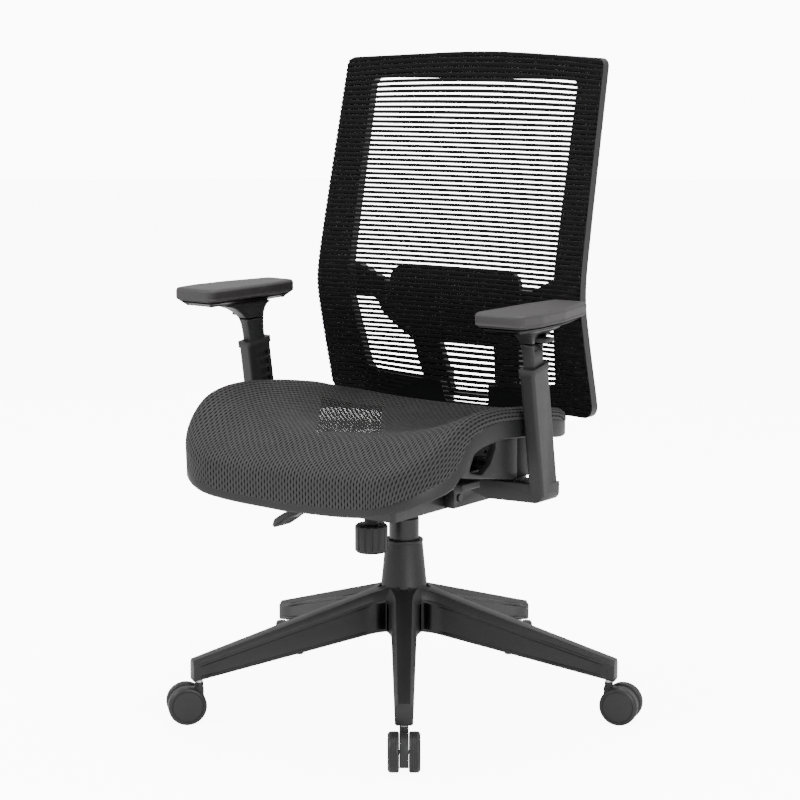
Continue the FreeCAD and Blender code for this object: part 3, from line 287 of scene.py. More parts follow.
@dataclass(frozen=True)
class MouldedNylon:
    """Satin black plastic with a fine spark-eroded grain."""

    name: str = "moulded_nylon"
    colour: Colour = (0.0125, 0.0122, 0.0125)
    roughness: float = 0.46
    grain: float = 1500.0
    grain_depth: float = 0.00006
    gloss: float = 0.30

    def build(self) -> bpy.types.Material:
        """Makes the material."""
        shader = Shader(self.name)
        cloud = shader.noise(9.0, 3.0)
        grain = shader.noise(self.grain, 1.0)
        flow = shader.noise(45.0, 2.0)
        colour = shader.blend(cloud, shade(self.colour, 0.82), shade(self.colour, 1.22))
        rough = self.roughness + (flow - 0.5) * 0.10 + (grain - 0.5) * 0.08
        return shader.close(
            {
                "Base Color": colour,
                "Roughness": rough,
                "Specular IOR Level": self.gloss,
                "Normal": shader.bump(grain, self.grain_depth, 0.8),
            }
        )


@dataclass(frozen=True)
class SoftPadSkin:
    """Matt polyurethane skin of the arm pads, with a leather-like grain."""

    name: str = "pad_skin"
    colour: Colour = (0.026, 0.0245, 0.0245)

    def build(self) -> bpy.types.Material:
        """Makes the material."""
        shader = Shader(self.name)
        place = shader.place()
        cells = shader.node(
            "ShaderNodeTexVoronoi", {"feature": "F1"}, {"Vector": place, "Scale": 650.0}, 0
        )
        cloud = shader.noise(14.0, 3.0)
        colour = shader.blend(cloud, shade(self.colour, 0.86), shade(self.colour, 1.16))
        return shader.close(
            {
                "Base Color": colour,
                "Roughness": 0.56 + (cloud - 0.5) * 0.12,
                "Specular IOR Level": 0.35,
                "Normal": shader.bump(cells, 0.00012, 0.7),
            }
        )


@dataclass(frozen=True)
class PowderCoat:
    """Black powder coat on steel, with a faint orange peel."""

    name: str = "powder_coat"
    colour: Colour = (0.011, 0.011, 0.0115)
    roughness: float = 0.38

    def build(self) -> bpy.types.Material:
        """Makes the material."""
        shader = Shader(self.name)
        peel = shader.noise(420.0, 1.0)
        cloud = shader.noise(20.0, 2.0)
        colour = shader.blend(cloud, shade(self.colour, 0.85), shade(self.colour, 1.2))
        return shader.close(
            {
                "Base Color": colour,
                "Roughness": self.roughness + (peel - 0.5) * 0.14,
                "Specular IOR Level": 0.35,
                "Normal": shader.bump(peel, 0.00008, 0.8),
            }
        )


@dataclass(frozen=True)
class BareMetal:
    """Plated or polished metal with faint turning marks."""

    name: str
    colour: Colour
    roughness: float

    def build(self) -> bpy.types.Material:
        """Makes the material."""
        shader = Shader(self.name)
        marks = shader.noise(60.0, 2.0, shader.place((1, 1, 14)))
        colour = shader.blend(marks, shade(self.colour, 0.9), shade(self.colour, 1.08))
        return shader.close(
            {
                "Base Color": colour,
                "Metallic": 1.0,
                "Roughness": self.roughness + (marks - 0.5) * 0.08,
            }
        )


@dataclass(frozen=True)
class OpenPatches:
    """Patches of the seat's mesh through which light shows, slanting across the seat."""

    slant: float = math.radians(36.0)
    patches: tuple[tuple[float, float, float, float], ...] = (
        (-0.133, -0.036, -0.150, 0.122), (0.006, 0.034, -0.180, -0.095),
    )

    def mask(self, across: Signal, along: Signal) -> Signal:
        """1 inside the patches and 0 outside, over the cloth map."""
        sidewise = across * math.cos(self.slant) + along * math.sin(self.slant)
        inward = along * math.cos(self.slant) - across * math.sin(self.slant)
        inside = across * 0.0
        for left, right, near, far in self.patches:
            wide = abs(sidewise - (left + right) / 2).below((right - left) / 2)
            deep = abs(inward - (near + far) / 2).below((far - near) / 2)
            inside = wide * deep + inside
        return inside


@dataclass(frozen=True)
class TwistedYarn:
    """Dyed polyester yarn whose twist follows the cloth map."""

    name: str
    dark: Colour
    light: Colour
    twist: float = 900.0
    roughness: float = 0.62
    gloss: float = 0.25
    open_share: float = 0.0

    def build(self) -> bpy.types.Material:
        """Makes the material."""
        shader = Shader(self.name)
        across, along = shader.cloth()
        solid = 1 - OpenPatches().mask(across, along) * self.open_share
        ply = ((across + along * 0.6) * (self.twist * 2 * math.pi)).sine() * 0.5 + 0.5
        cloud = shader.noise(30.0, 3.0)
        tone = ply * 0.55 + cloud * 0.45
        return shader.close(
            {
                "Base Color": shader.blend(tone, (*self.dark, 1.0), (*self.light, 1.0)),
                "Roughness": self.roughness + (ply - 0.5) * 0.1,
                "Specular IOR Level": self.gloss,
                "Alpha": solid if self.open_share else 1.0,
                "Normal": shader.bump(ply, 0.00015, 0.6),
            }
        )


@dataclass(frozen=True)
class BackKnit:
    """Clear cross threads between the dark bands of the back's mesh."""

    name: str = "back_knit"
    colour: Colour = (0.0035, 0.0035, 0.0036)
    pitch: float = 0.0076
    band: float = 0.56
    thread_pitch: float = 0.0030

    def build(self) -> bpy.types.Material:
        """Makes the material."""
        shader = Shader(self.name)
        across, along = shader.cloth()
        row = (along / self.pitch).fraction()
        band = row.below(self.band)
        thread = (across / self.thread_pitch).fraction().below(0.09)
        alpha = band.at_least(thread * 0.14)
        colour = shader.blend(band, (0.30, 0.30, 0.31, 1.0), shade(self.colour, 1.0))
        return shader.close(
            {
                "Base Color": colour,
                "Roughness": 0.6,
                "Specular IOR Level": 0.15,
                "Alpha": alpha,
                "Normal": shader.bump(thread, 0.0001, 0.5),
            }
        )


@dataclass(frozen=True)
class SeatKnit:
    """Fine ground of the seat's mesh, with slim holes between the wavy yarns in its middle."""

    name: str = "seat_knit"
    colour: Colour = (0.0100, 0.0097, 0.0098)
    pitch: float = 0.0055
    cell: float = 0.0100

    def build(self) -> bpy.types.Material:
        """Makes the material."""
        shader = Shader(self.name)
        across, along = shader.cloth()
        column = (across / self.pitch).floor()
        odd = (column * 0.5).fraction() * 2.0
        x = (across / self.pitch).fraction() - 0.5
        y = (along / self.cell + odd * 0.5).fraction() - 0.5
        ring = x * x / (0.34 * 0.34) + y * y / (0.30 * 0.30)
        solid = 1 - ring.below(1.0) * OpenPatches().mask(across, along)
        fine = ((along * (2 * math.pi / 0.0012)).sine() * 0.5 + 0.5) * 0.6
        return shader.close(
            {
                "Base Color": shader.blend(fine, shade(self.colour, 0.7), shade(self.colour, 1.3)),
                "Roughness": 0.7,
                "Specular IOR Level": 0.15,
                "Alpha": solid,
                "Normal": shader.bump(fine, 0.0001, 0.5),
            }
        )


@dataclass(frozen=True)
class StudioFloor:
    """Plain pale floor."""

    name: str = "studio_floor"

    def build(self) -> bpy.types.Material:
        """Makes the material."""
        shader = Shader(self.name)
        cloud = shader.noise(0.6, 2.0)
        colour = shader.blend(cloud, (0.92, 0.92, 0.92, 1.0), (0.95, 0.95, 0.95, 1.0))
        seen = shader.node("ShaderNodeLightPath", {}, {}, "Is Camera Ray")
        glow = shader.blend(seen, (0.0, 0.0, 0.0, 1.0), (1.0, 1.0, 1.0, 1.0))
        return shader.close(
            {
                "Base Color": colour,
                "Roughness": 0.9,
                "Specular IOR Level": 0.1,
                "Emission Color": glow,
                "Emission Strength": 9.0,
            }
        )


class Palette:
    """Every finish of the chair, made once."""

    def __init__(self) -> None:
        """Builds the materials."""
        self.nylon = MouldedNylon().build()
        self.frame_nylon = MouldedNylon("frame_nylon", (0.011, 0.011, 0.0115), 0.42).build()
        # Near-black copy of the nylon: painted shade for the faces that lie behind the back's cloth.
        self.painted_shade_black = MouldedNylon(
            "painted_shade_nylon", (0.0022, 0.0022, 0.0023), 0.75, gloss=0.05
        ).build()
        self.wheel = MouldedNylon("wheel_nylon", (0.014, 0.0137, 0.014), 0.42, 900.0).build()
        self.pad = SoftPadSkin().build()
        self.coat = PowderCoat().build()
        self.chrome = BareMetal("chrome", (0.78, 0.78, 0.79), 0.10).build()
        self.zinc = BareMetal("zinc_plate", (0.50, 0.50, 0.51), 0.32).build()
        self.back_yarn = TwistedYarn(
            "back_yarn", (0.0030, 0.0030, 0.0032), (0.0075, 0.0073, 0.0075), gloss=0.03
        ).build()
        self.back_knit = BackKnit().build()
        self.seat_yarn = TwistedYarn(
            "seat_yarn", (0.016, 0.0155, 0.0155), (0.040, 0.0385, 0.0385), open_share=0.30
        ).build()
        self.seat_knit = SeatKnit().build()
        self.floor = StudioFloor().build()


# ---------------------------------------------------------------------- workshop


def ring_of(bm: bmesh.types.BMesh, points: Sequence[Vector]) -> bmesh.types.BMFace:
    """First face of a shape, from its corner points."""
    return bm.faces.new([bm.verts.new(p) for p in points])


def loft(bm: bmesh.types.BMesh, rings: Sequence[Sequence[Vector]]) -> None:
    """Closed solid through rings with equal numbers of points, grown by extrusion.

    Args:
        bm: mesh that receives the solid.
        rings: the rings, in order.
    """
    face = ring_of(bm, rings[0])
    for number, ring in enumerate(rings[1:]):
        grown = bmesh.ops.extrude_face_region(
            bm, geom=[face], use_keep_orig=number == 0
        )
        face = next(g for g in grown["geom"] if isinstance(g, bmesh.types.BMFace))
        for vert, point in zip(face.verts, ring):
            vert.co = point
    bmesh.ops.recalc_face_normals(bm, faces=bm.faces)


def turn(
    bm: bmesh.types.BMesh, profile: Sequence[Point], steps: int, centre: Vector, axis: Vector
) -> None:
    """Turned solid: profile of (radius, height) pairs, spun round an axis.

    Args:
        bm: mesh that receives the solid.
        profile: pairs of radius and height along the axis.
        steps: faces round the axis.
        centre: point of the axis at height 0.
        axis: direction of the axis.
    """
    frame_turn = Vector((0, 0, 1)).rotation_difference(axis).to_matrix()
    verts = [bm.verts.new(centre + frame_turn @ Vector((r, 0, h))) for r, h in profile]
    closed = zip(verts, verts[1:])
    edges = [bm.edges.new(pair) for pair in closed]
    bmesh.ops.spin(
        bm,
        geom=verts + edges,
        cent=centre,
        axis=axis,
        angle=2 * math.pi,
        steps=steps,
        use_merge=True,
        use_duplicate=False,
    )
    bmesh.ops.remove_doubles(bm, verts=bm.verts, dist=WELD)
    bmesh.ops.dissolve_degenerate(bm, edges=bm.edges, dist=WELD / 10)
    bmesh.ops.recalc_face_normals(bm, faces=bm.faces)


def soften_edges(
    bm: bmesh.types.BMesh, width: float, segments: int = 2, angle: float = 30.0
) -> None:
    """Bevels every edge sharper than an angle in degrees."""
    limit = math.radians(angle)
    edges = [e for e in bm.edges if e.is_manifold and e.calc_face_angle(0.0) > limit]
    bmesh.ops.bevel(
        bm,
        geom=edges,
        offset=width,
        offset_type="OFFSET",
        segments=segments,
        profile=0.5,
        affect="EDGES",
        clamp_overlap=True,
        material=-1,
    )


def from_node(node: str) -> bmesh.types.BMesh:
    """Welded copy of a CAD node's mesh with its flat faces whole."""
    bm = bmesh.new()
    bm.from_mesh(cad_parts[node].data)
    bmesh.ops.remove_doubles(bm, verts=bm.verts, dist=WELD)
    bmesh.ops.dissolve_limit(
        bm, angle_limit=math.radians(0.5), use_dissolve_boundaries=False,
        verts=bm.verts, edges=bm.edges,
    )
    return bm


def finish_piece(
    bm: bmesh.types.BMesh,
    name: str,
    body: str,
    material: bpy.types.Material,
    replaces: Iterable[str] = (),
) -> bpy.types.Object:
    """Turns a mesh into a finished piece that rides on a body.

    Args:
        bm: the mesh, freed here.
        name: name of the piece.
        body: body it moves with.
        material: its finish.
        replaces: CAD nodes that it stands for.

    Returns:
        The piece.
    """
    for face in bm.faces:
        face.smooth = True
    for edge in bm.edges:
        edge.smooth = not edge.is_manifold or edge.calc_face_angle(0.0) < SHARP_ANGLE
    mesh = bpy.data.meshes.new(name)
    bm.to_mesh(mesh)
    bm.free()
    mesh.materials.append(material)
    piece = bpy.data.objects.new(name, mesh)
    bpy.context.scene.collection.objects.link(piece)
    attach(piece, body)
    nodes = tuple(replaces)
    if nodes:
        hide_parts(*nodes)
    LOG.info("%s: %d faces, on %s", name, len(mesh.polygons), body)
    return piece


def lay_map(
    bm: bmesh.types.BMesh, layer: Any, places: dict[bmesh.types.BMVert, Point]
) -> None:
    """Gives every corner its place on the flat cloth.

    Args:
        bm: mesh of the cloth.
        layer: its cloth map.
        places: place of each vertex on the flat cloth.
    """
    for face in bm.faces:
        for loop in face.loops:
            loop[layer].uv = places[loop.vert]


def cut_across(bm: bmesh.types.BMesh, x: float) -> None:
    """Adds edges where a mesh crosses an upright plane at x."""
    bmesh.ops.bisect_plane(
        bm, geom=bm.verts[:] + bm.edges[:] + bm.faces[:], plane_co=(x, 0, 0), plane_no=(1, 0, 0)
    )


def softened_node(
    node: str, body: str, material: bpy.types.Material, width: float
) -> bpy.types.Object:
    """Piece in the shape of a CAD node, with its sharp edges rounded."""
    bm = from_node(node)
    soften_edges(bm, width)
    return finish_piece(bm, f"{node}_piece", body, material, [node])


def darken_front(piece: bpy.types.Object, material: bpy.types.Material) -> None:
    """Paints shade on the faces that lie behind the cloth of the back, with a near-black copy of the
    nylon.
    """
    piece.data.materials.append(material)
    for face in piece.data.polygons:
        if face.normal.y < -0.55:
            face.material_index = 1


def paint_node(node: str, material: bpy.types.Material) -> None:
    """Gives a shown CAD node its finish."""
    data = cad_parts[node].data
    data.materials.clear()
    data.materials.append(material)
    LOG.info("%s: shown as it is", node)


def rounded_outline(
    corners: Sequence[tuple[float, float, float]], steps: int = 8
) -> list[Point]:
    """Closed outline with each corner rounded.

    Args:
        corners: x, y and radius of each corner, anticlockwise.
        steps: pieces of each rounding.

    Returns:
        Points of the outline.
    """
    outline: list[Point] = []
    count = len(corners)
    for i, (x, y, radius) in enumerate(corners):
        here = Vector((x, y))
        before = (Vector(corners[i - 1][:2]) - here).normalized()
        after = (Vector(corners[(i + 1) % count][:2]) - here).normalized()
        half = before.angle(after) / 2
        reach = radius / math.tan(half)
        centre = here + (before + after).normalized() * (radius / math.sin(half))
        start = here + before * reach - centre
        end = here + after * reach - centre
        sweep = start.angle_signed(end)
        for k in range(steps + 1):
            spoke = start.copy()
            spoke.rotate(Matrix.Rotation(-sweep * k / steps, 2))
            outline.append(tuple(centre + spoke))
    return outline


def inset_outline(outline: Sequence[Point], amount: float) -> list[Point]:
    """Outline drawn in by an amount, point by point along its own normals."""
    count = len(outline)
    result = []
    for i, point in enumerate(outline):
        ahead = Vector(outline[(i + 1) % count]) - Vector(point)
        behind = Vector(point) - Vector(outline[i - 1])
        run = ahead.normalized() + behind.normalized()
        if run.length < 1e-9:
            run = ahead
        run.normalize()
        result.append((point[0] - run.y * amount, point[1] + run.x * amount))
    return result


# ------------------------------------------------------------------------ studio


@dataclass
class Studio:
    """Floor, soft light and camera."""

    azimuth: float = math.radians(36.0)
    distance: float = 3.54
    height: float = 1.0465
    pitch: float = math.radians(8.95)
    lens: float = 102.96
    floor_radius: float = 14.0
    ambient: float = 1.25
    backdrop: float = 11.0

    def build(self, palette: Palette) -> None:
        """Sets up the studio."""
        self._camera()
        self._floor(palette)
        self._world()
        self._lamp("key_lamp", (-2.6, -3.4, 3.6), (0.0, 0.0, 0.6), 2.6, 190.0)
        self._lamp("fill_lamp", (3.8, -1.6, 2.4), (0.0, 0.0, 0.5), 2.4, 140.0)
        self._lamp("top_lamp", (0.0, 0.6, 4.2), (0.0, 0.0, 0.5), 3.0, 130.0)

    def _camera(self) -> None:
        """Camera in front of the chair, to the sitter's left."""
        data = bpy.data.cameras.new("camera")
        data.lens = self.lens
        data.sensor_width = 36.0
        data.shift_x = -0.005
        camera = bpy.data.objects.new("camera", data)
        camera.location = (
            self.distance * math.sin(self.azimuth),
            -self.distance * math.cos(self.azimuth),
            self.height,
        )
        camera.rotation_euler = (math.pi / 2 - self.pitch, 0.0, self.azimuth)
        bpy.context.scene.collection.objects.link(camera)
        bpy.context.scene.camera = camera

    def _floor(self, palette: Palette) -> None:
        """Wide round floor."""
        bm = bmesh.new()
        bmesh.ops.create_circle(bm, cap_ends=True, segments=96, radius=self.floor_radius)
        mesh = bpy.data.meshes.new("studio_floor")
        bm.to_mesh(mesh)
        bm.free()
        mesh.materials.append(palette.floor)
        floor = bpy.data.objects.new("studio_floor", mesh)
        bpy.context.scene.collection.objects.link(floor)

    def _world(self) -> None:
        """Even white surroundings."""
        world = bpy.data.worlds.new("studio_world")
        world.use_nodes = True
        nodes, links = world.node_tree.nodes, world.node_tree.links
        lit = nodes["Background"]
        lit.inputs["Color"].default_value = (1.0, 1.0, 1.0, 1.0)
        lit.inputs["Strength"].default_value = self.ambient
        seen = nodes.new("ShaderNodeBackground")
        seen.inputs["Color"].default_value = (1.0, 1.0, 1.0, 1.0)
        seen.inputs["Strength"].default_value = self.backdrop
        choice = nodes.new("ShaderNodeMixShader")
        path = nodes.new("ShaderNodeLightPath")
        links.new(path.outputs["Is Camera Ray"], choice.inputs[0])
        links.new(lit.outputs[0], choice.inputs[1])
        links.new(seen.outputs[0], choice.inputs[2])
        links.new(choice.outputs[0], nodes["World Output"].inputs["Surface"])
        bpy.context.scene.world = world

    def _lamp(
        self, name: str, place: Sequence[float], target: Sequence[float], size: float, power: float
    ) -> None:
        """Adds one soft box that points at a target."""
        data = bpy.data.lights.new(name, "AREA")
        data.size = size
        data.energy = power
        lamp = bpy.data.objects.new(name, data)
        lamp.location = place
        away = Vector(place) - Vector(target)
        lamp.rotation_euler = away.to_track_quat("Z", "Y").to_euler()
        bpy.context.scene.collection.objects.link(lamp)


# --------------------------------------------------------------------- star base


@dataclass
class StarBase:
    """Five-arm base with its hub."""

    arm_count: int = 5
    turn_deg: float = 36.0
    root: float = 0.018
    reach: float = 0.345
    half: Point = (0.021, 0.0135)
    crown_half: Point = (0.014, 0.009)
    floor: Point = (0.129, 0.066)
    shoulder: Point = (0.184, 0.092)
    crown: Point = (0.198, 0.099)
    recess: float = 0.0016
    flare: float = 0.012

    def build(self, palette: Palette) -> None:
        """Makes the base as one piece."""
        bm = bmesh.new()
        for number in range(self.arm_count):
            angle = self.turn_deg + number * 360 / self.arm_count
            self._arm(bm, Matrix.Rotation(math.radians(angle), 3, "Z"))
        self._hub(bm)
        finish_piece(bm, "star_base_piece", "base", palette.nylon, ["star_base"])

    def _section(self, reach: float) -> list[Point]:
        """Right half of an arm's section at a distance from the column, from the bottom up."""
        share = (reach - self.root) / (self.reach - self.root)
        half = mix(*self.half, share)
        crown_half = mix(*self.crown_half, share)
        floor = mix(*self.floor, share)
        shoulder = mix(*self.shoulder, share)
        crown = mix(*self.crown, share)
        spread = self.flare * max(0.0, (0.066 - reach) / 0.032) ** 2
        half += spread
        crown_half += spread * 0.6
        sunk = self.recess * ease(0.058, 0.075, reach) * (1 - ease(0.322, 0.334, reach))
        return [
            (half - 0.0025, floor),
            (half, floor + 0.0025),
            (half, floor + 0.005),
            (half - sunk, floor + 0.0065),
            (half - sunk, shoulder - 0.0055),
            (half, shoulder - 0.004),
            (half, shoulder),
            (crown_half, crown),
        ]

    def _arm(self, bm: bmesh.types.BMesh, spin: Matrix) -> None:
        """Adds one arm."""
        arm = bmesh.new()
        stations = [0.018, 0.030, 0.038, 0.046, 0.054, 0.062, 0.072, 0.12, 0.18, 0.24, 0.30, 0.322]
        stations += [0.334, 0.345]
        rings = []
        for reach in stations:
            half = self._section(reach)
            ring = half + [(-x, z) for x, z in reversed(half)]
            rings.append([spin @ Vector((x, -reach, z)) for x, z in ring])
        loft(arm, rings)
        edges = [e for e in arm.edges if e.calc_face_angle(0.0) > math.radians(24)]
        bmesh.ops.bevel(
            arm, geom=edges, offset=0.0009, offset_type="OFFSET", segments=2,
            profile=0.5, affect="EDGES", clamp_overlap=True, material=-1,
        )
        join(bm, arm)

    def _hub(self, bm: bmesh.types.BMesh) -> None:
        """Adds the hub and its collar."""
        hub = bmesh.new()
        profile = [
            (0.0, 0.1145), (0.0180, 0.1145), (0.0205, 0.1142), (0.0215, 0.1152), (0.0215, 0.1290),
            (0.0300, 0.1290), (0.0328, 0.1300), (0.0340, 0.1330), (0.0340, 0.1905),
            (0.0335, 0.1925), (0.0320, 0.1930), (0.0, 0.1930),
        ]
        turn(hub, profile, 64, Vector(), Vector((0, 0, 1)))
        join(bm, hub)


def join(target: bmesh.types.BMesh, source: bmesh.types.BMesh) -> None:
    """Adds a mesh to another and frees it."""
    mesh = bpy.data.meshes.new("joined")
    source.to_mesh(mesh)
    source.free()
    target.from_mesh(mesh)
    bpy.data.meshes.remove(mesh)


@dataclass
class Column:
    """Stand tube, guide bush, gas spring and cover."""

    def build(self, palette: Palette) -> None:
        """Makes the turned cover and dresses the nodes of the gas spring."""
        bm = bmesh.new()
        profile = [
            (0.0340, 0.1920), (0.0358, 0.1920), (0.0364, 0.1926), (0.0364, 0.1960),
            (0.0361, 0.1966), (0.0298, 0.2618), (0.0296, 0.2628), (0.0303, 0.2636),
            (0.0305, 0.2646), (0.0305, 0.2672), (0.0300, 0.2680), (0.0288, 0.2683),
            (0.0262, 0.2668), (0.02385, 0.2664), (0.02385, 0.2600), (0.0270, 0.2580),
            (0.0332, 0.1960), (0.0340, 0.1920),
        ]
        turn(bm, profile, 96, Vector(), Vector((0, 0, 1)))
        finish_piece(bm, "column_cover_piece", "base", palette.nylon, ["column_cover"])
        paint_node("stand_tube", palette.coat)
        paint_node("guide_bush", palette.nylon)
        paint_node("thrust_bearing", palette.zinc)
        paint_node("piston_rod", palette.chrome)
        paint_node("gas_cylinder", palette.coat)


# ----------------------------------------------------------------------- casters


@dataclass
class Casters:
    """Five twin-wheel casters."""

    circle: float = 0.334
    trail: float = 0.020
    radius: float = 0.030
    width: float = 0.017
    gap: float = 0.014
    trails: tuple[float, ...] = (36.0, 106.0, 216.0, 216.0, 317.0)

    def build(self, palette: Palette) -> None:
        """Makes the wheels and dresses stems, axles and hoods."""
        for number, trail in enumerate(self.trails, start=1):
            around = math.radians(36 + (number - 1) * 72)
            stem = Matrix.Rotation(around, 3, "Z") @ Vector((0, -self.circle, 0))
            spin = Matrix.Rotation(math.radians(trail), 3, "Z")
            hub = stem + spin @ Vector((0, -self.trail, self.radius))
            across = spin @ Vector((1, 0, 0))
            for word, sign in (("left", 1), ("right", -1)):
                self._wheel(palette, number, word, hub, across * sign)
            softened_node(
                f"caster_hood_{number}", f"caster_{number}", palette.nylon, 0.0009
            )
            paint_node(f"caster_stem_{number}", palette.zinc)
            paint_node(f"caster_axle_{number}", palette.zinc)

    def _profile(self) -> list[Point]:
        """Profile of a wheel, from its inner face outwards."""
        inner = self.gap / 2
        outer = inner + self.width
        grooves: list[Point] = []
        for k in range(3):
            middle = inner + 0.0048 + k * 0.0034
            grooves += [
                (self.radius, middle - 0.0008), (self.radius - 0.0005, middle - 0.0004),
                (self.radius - 0.0005, middle + 0.0004), (self.radius, middle + 0.0008),
            ]
        return [
            (0.0, inner), (self.radius - 0.0035, inner), (self.radius - 0.0022, inner + 0.0002),
            (self.radius - 0.0008, inner + 0.0012), (self.radius, inner + 0.0026), *grooves,
            (self.radius, outer - 0.0046), (self.radius - 0.0003, outer - 0.0036),
            (self.radius - 0.0016, outer - 0.0018), (self.radius - 0.0030, outer - 0.0006),
            (self.radius - 0.0044, outer - 0.0001), (self.radius - 0.0052, outer - 0.0003),
            (self.radius - 0.0056, outer - 0.0012), (self.radius - 0.0062, outer - 0.0013),
            (self.radius - 0.0070, outer - 0.0006), (self.radius - 0.0110, outer - 0.0001),
            (0.0, outer),
        ]

    def _wheel(
        self, palette: Palette, number: int, word: str, hub: Vector, axis: Vector
    ) -> None:
        """Makes one wheel."""
        bm = bmesh.new()
        turn(bm, self._profile(), 64, hub, axis)
        finish_piece(
            bm,
            f"caster_wheel_{word}_{number}_piece",
            f"wheel_{word}_{number}",
            palette.wheel,
            [f"caster_wheel_{word}_{number}"],
        )


# --------------------------------------------------------------------- mechanism


@dataclass
class Mechanism:
    """Housing under the seat, with its knob and height lever."""

    pivot: Vector
    drop: float = math.radians(17.0)
    paddle_half: float = 0.023
    curl: float = 0.013

    def build(self, palette: Palette) -> None:
        """Dresses the housing, knob and lever."""
        softened_node("mechanism_housing", "lift", palette.coat, 0.0009)
        softened_node("tension_knob", "knob", palette.nylon, 0.0006)
        self._paddle(palette)
        paint_node("height_lever", palette.coat)
        paint_node("recline_pin", palette.coat)
        paint_node("seat_pivot_pin", palette.coat)
        paint_node("tension_spring", palette.zinc)

    def _paddle(self, palette: Palette) -> None:
        """Blade at the lever's end, its tip curled down."""
        bm = bmesh.new()
        run = Vector((-math.cos(self.drop), 0.0, -math.sin(self.drop)))
        rings = []
        for share in (0.0, 0.04, 0.12, 0.3, 0.5, 0.68, 0.82, 0.92, 0.98, 1.0):
            wide = self.paddle_half * (0.55 + 0.45 * ease(0.0, 0.35, share))
            wide *= 1 - 0.35 * ease(0.75, 1.0, share) ** 2
            thick = mix(0.0048, 0.0078, ease(0.1, 0.6, share)) * (1 - 0.45 * ease(0.85, 1.0, share))
            thick *= 0.6 + 0.4 * ease(0.0, 0.08, share)
            middle = self.pivot + run * mix(0.112, 0.170, share)
            middle.z -= self.curl * ease(0.1, 1.15, share)
            ring = [
                (-wide + 0.004, -thick), (wide - 0.004, -thick), (wide, -thick + 0.002),
                (wide, thick - 0.002), (wide - 0.004, thick), (-wide + 0.004, thick),
                (-wide, thick - 0.002), (-wide, -thick + 0.002),
            ]
            rings.append([middle + Vector((0, y, z)) for y, z in ring])
        loft(bm, rings)
        soften_edges(bm, 0.0010, 2, 40)
        finish_piece(
            bm, "lever_paddle_piece", "lever", palette.nylon, ["lever_paddle"]
        )


# -------------------------------------------------------------------------- seat


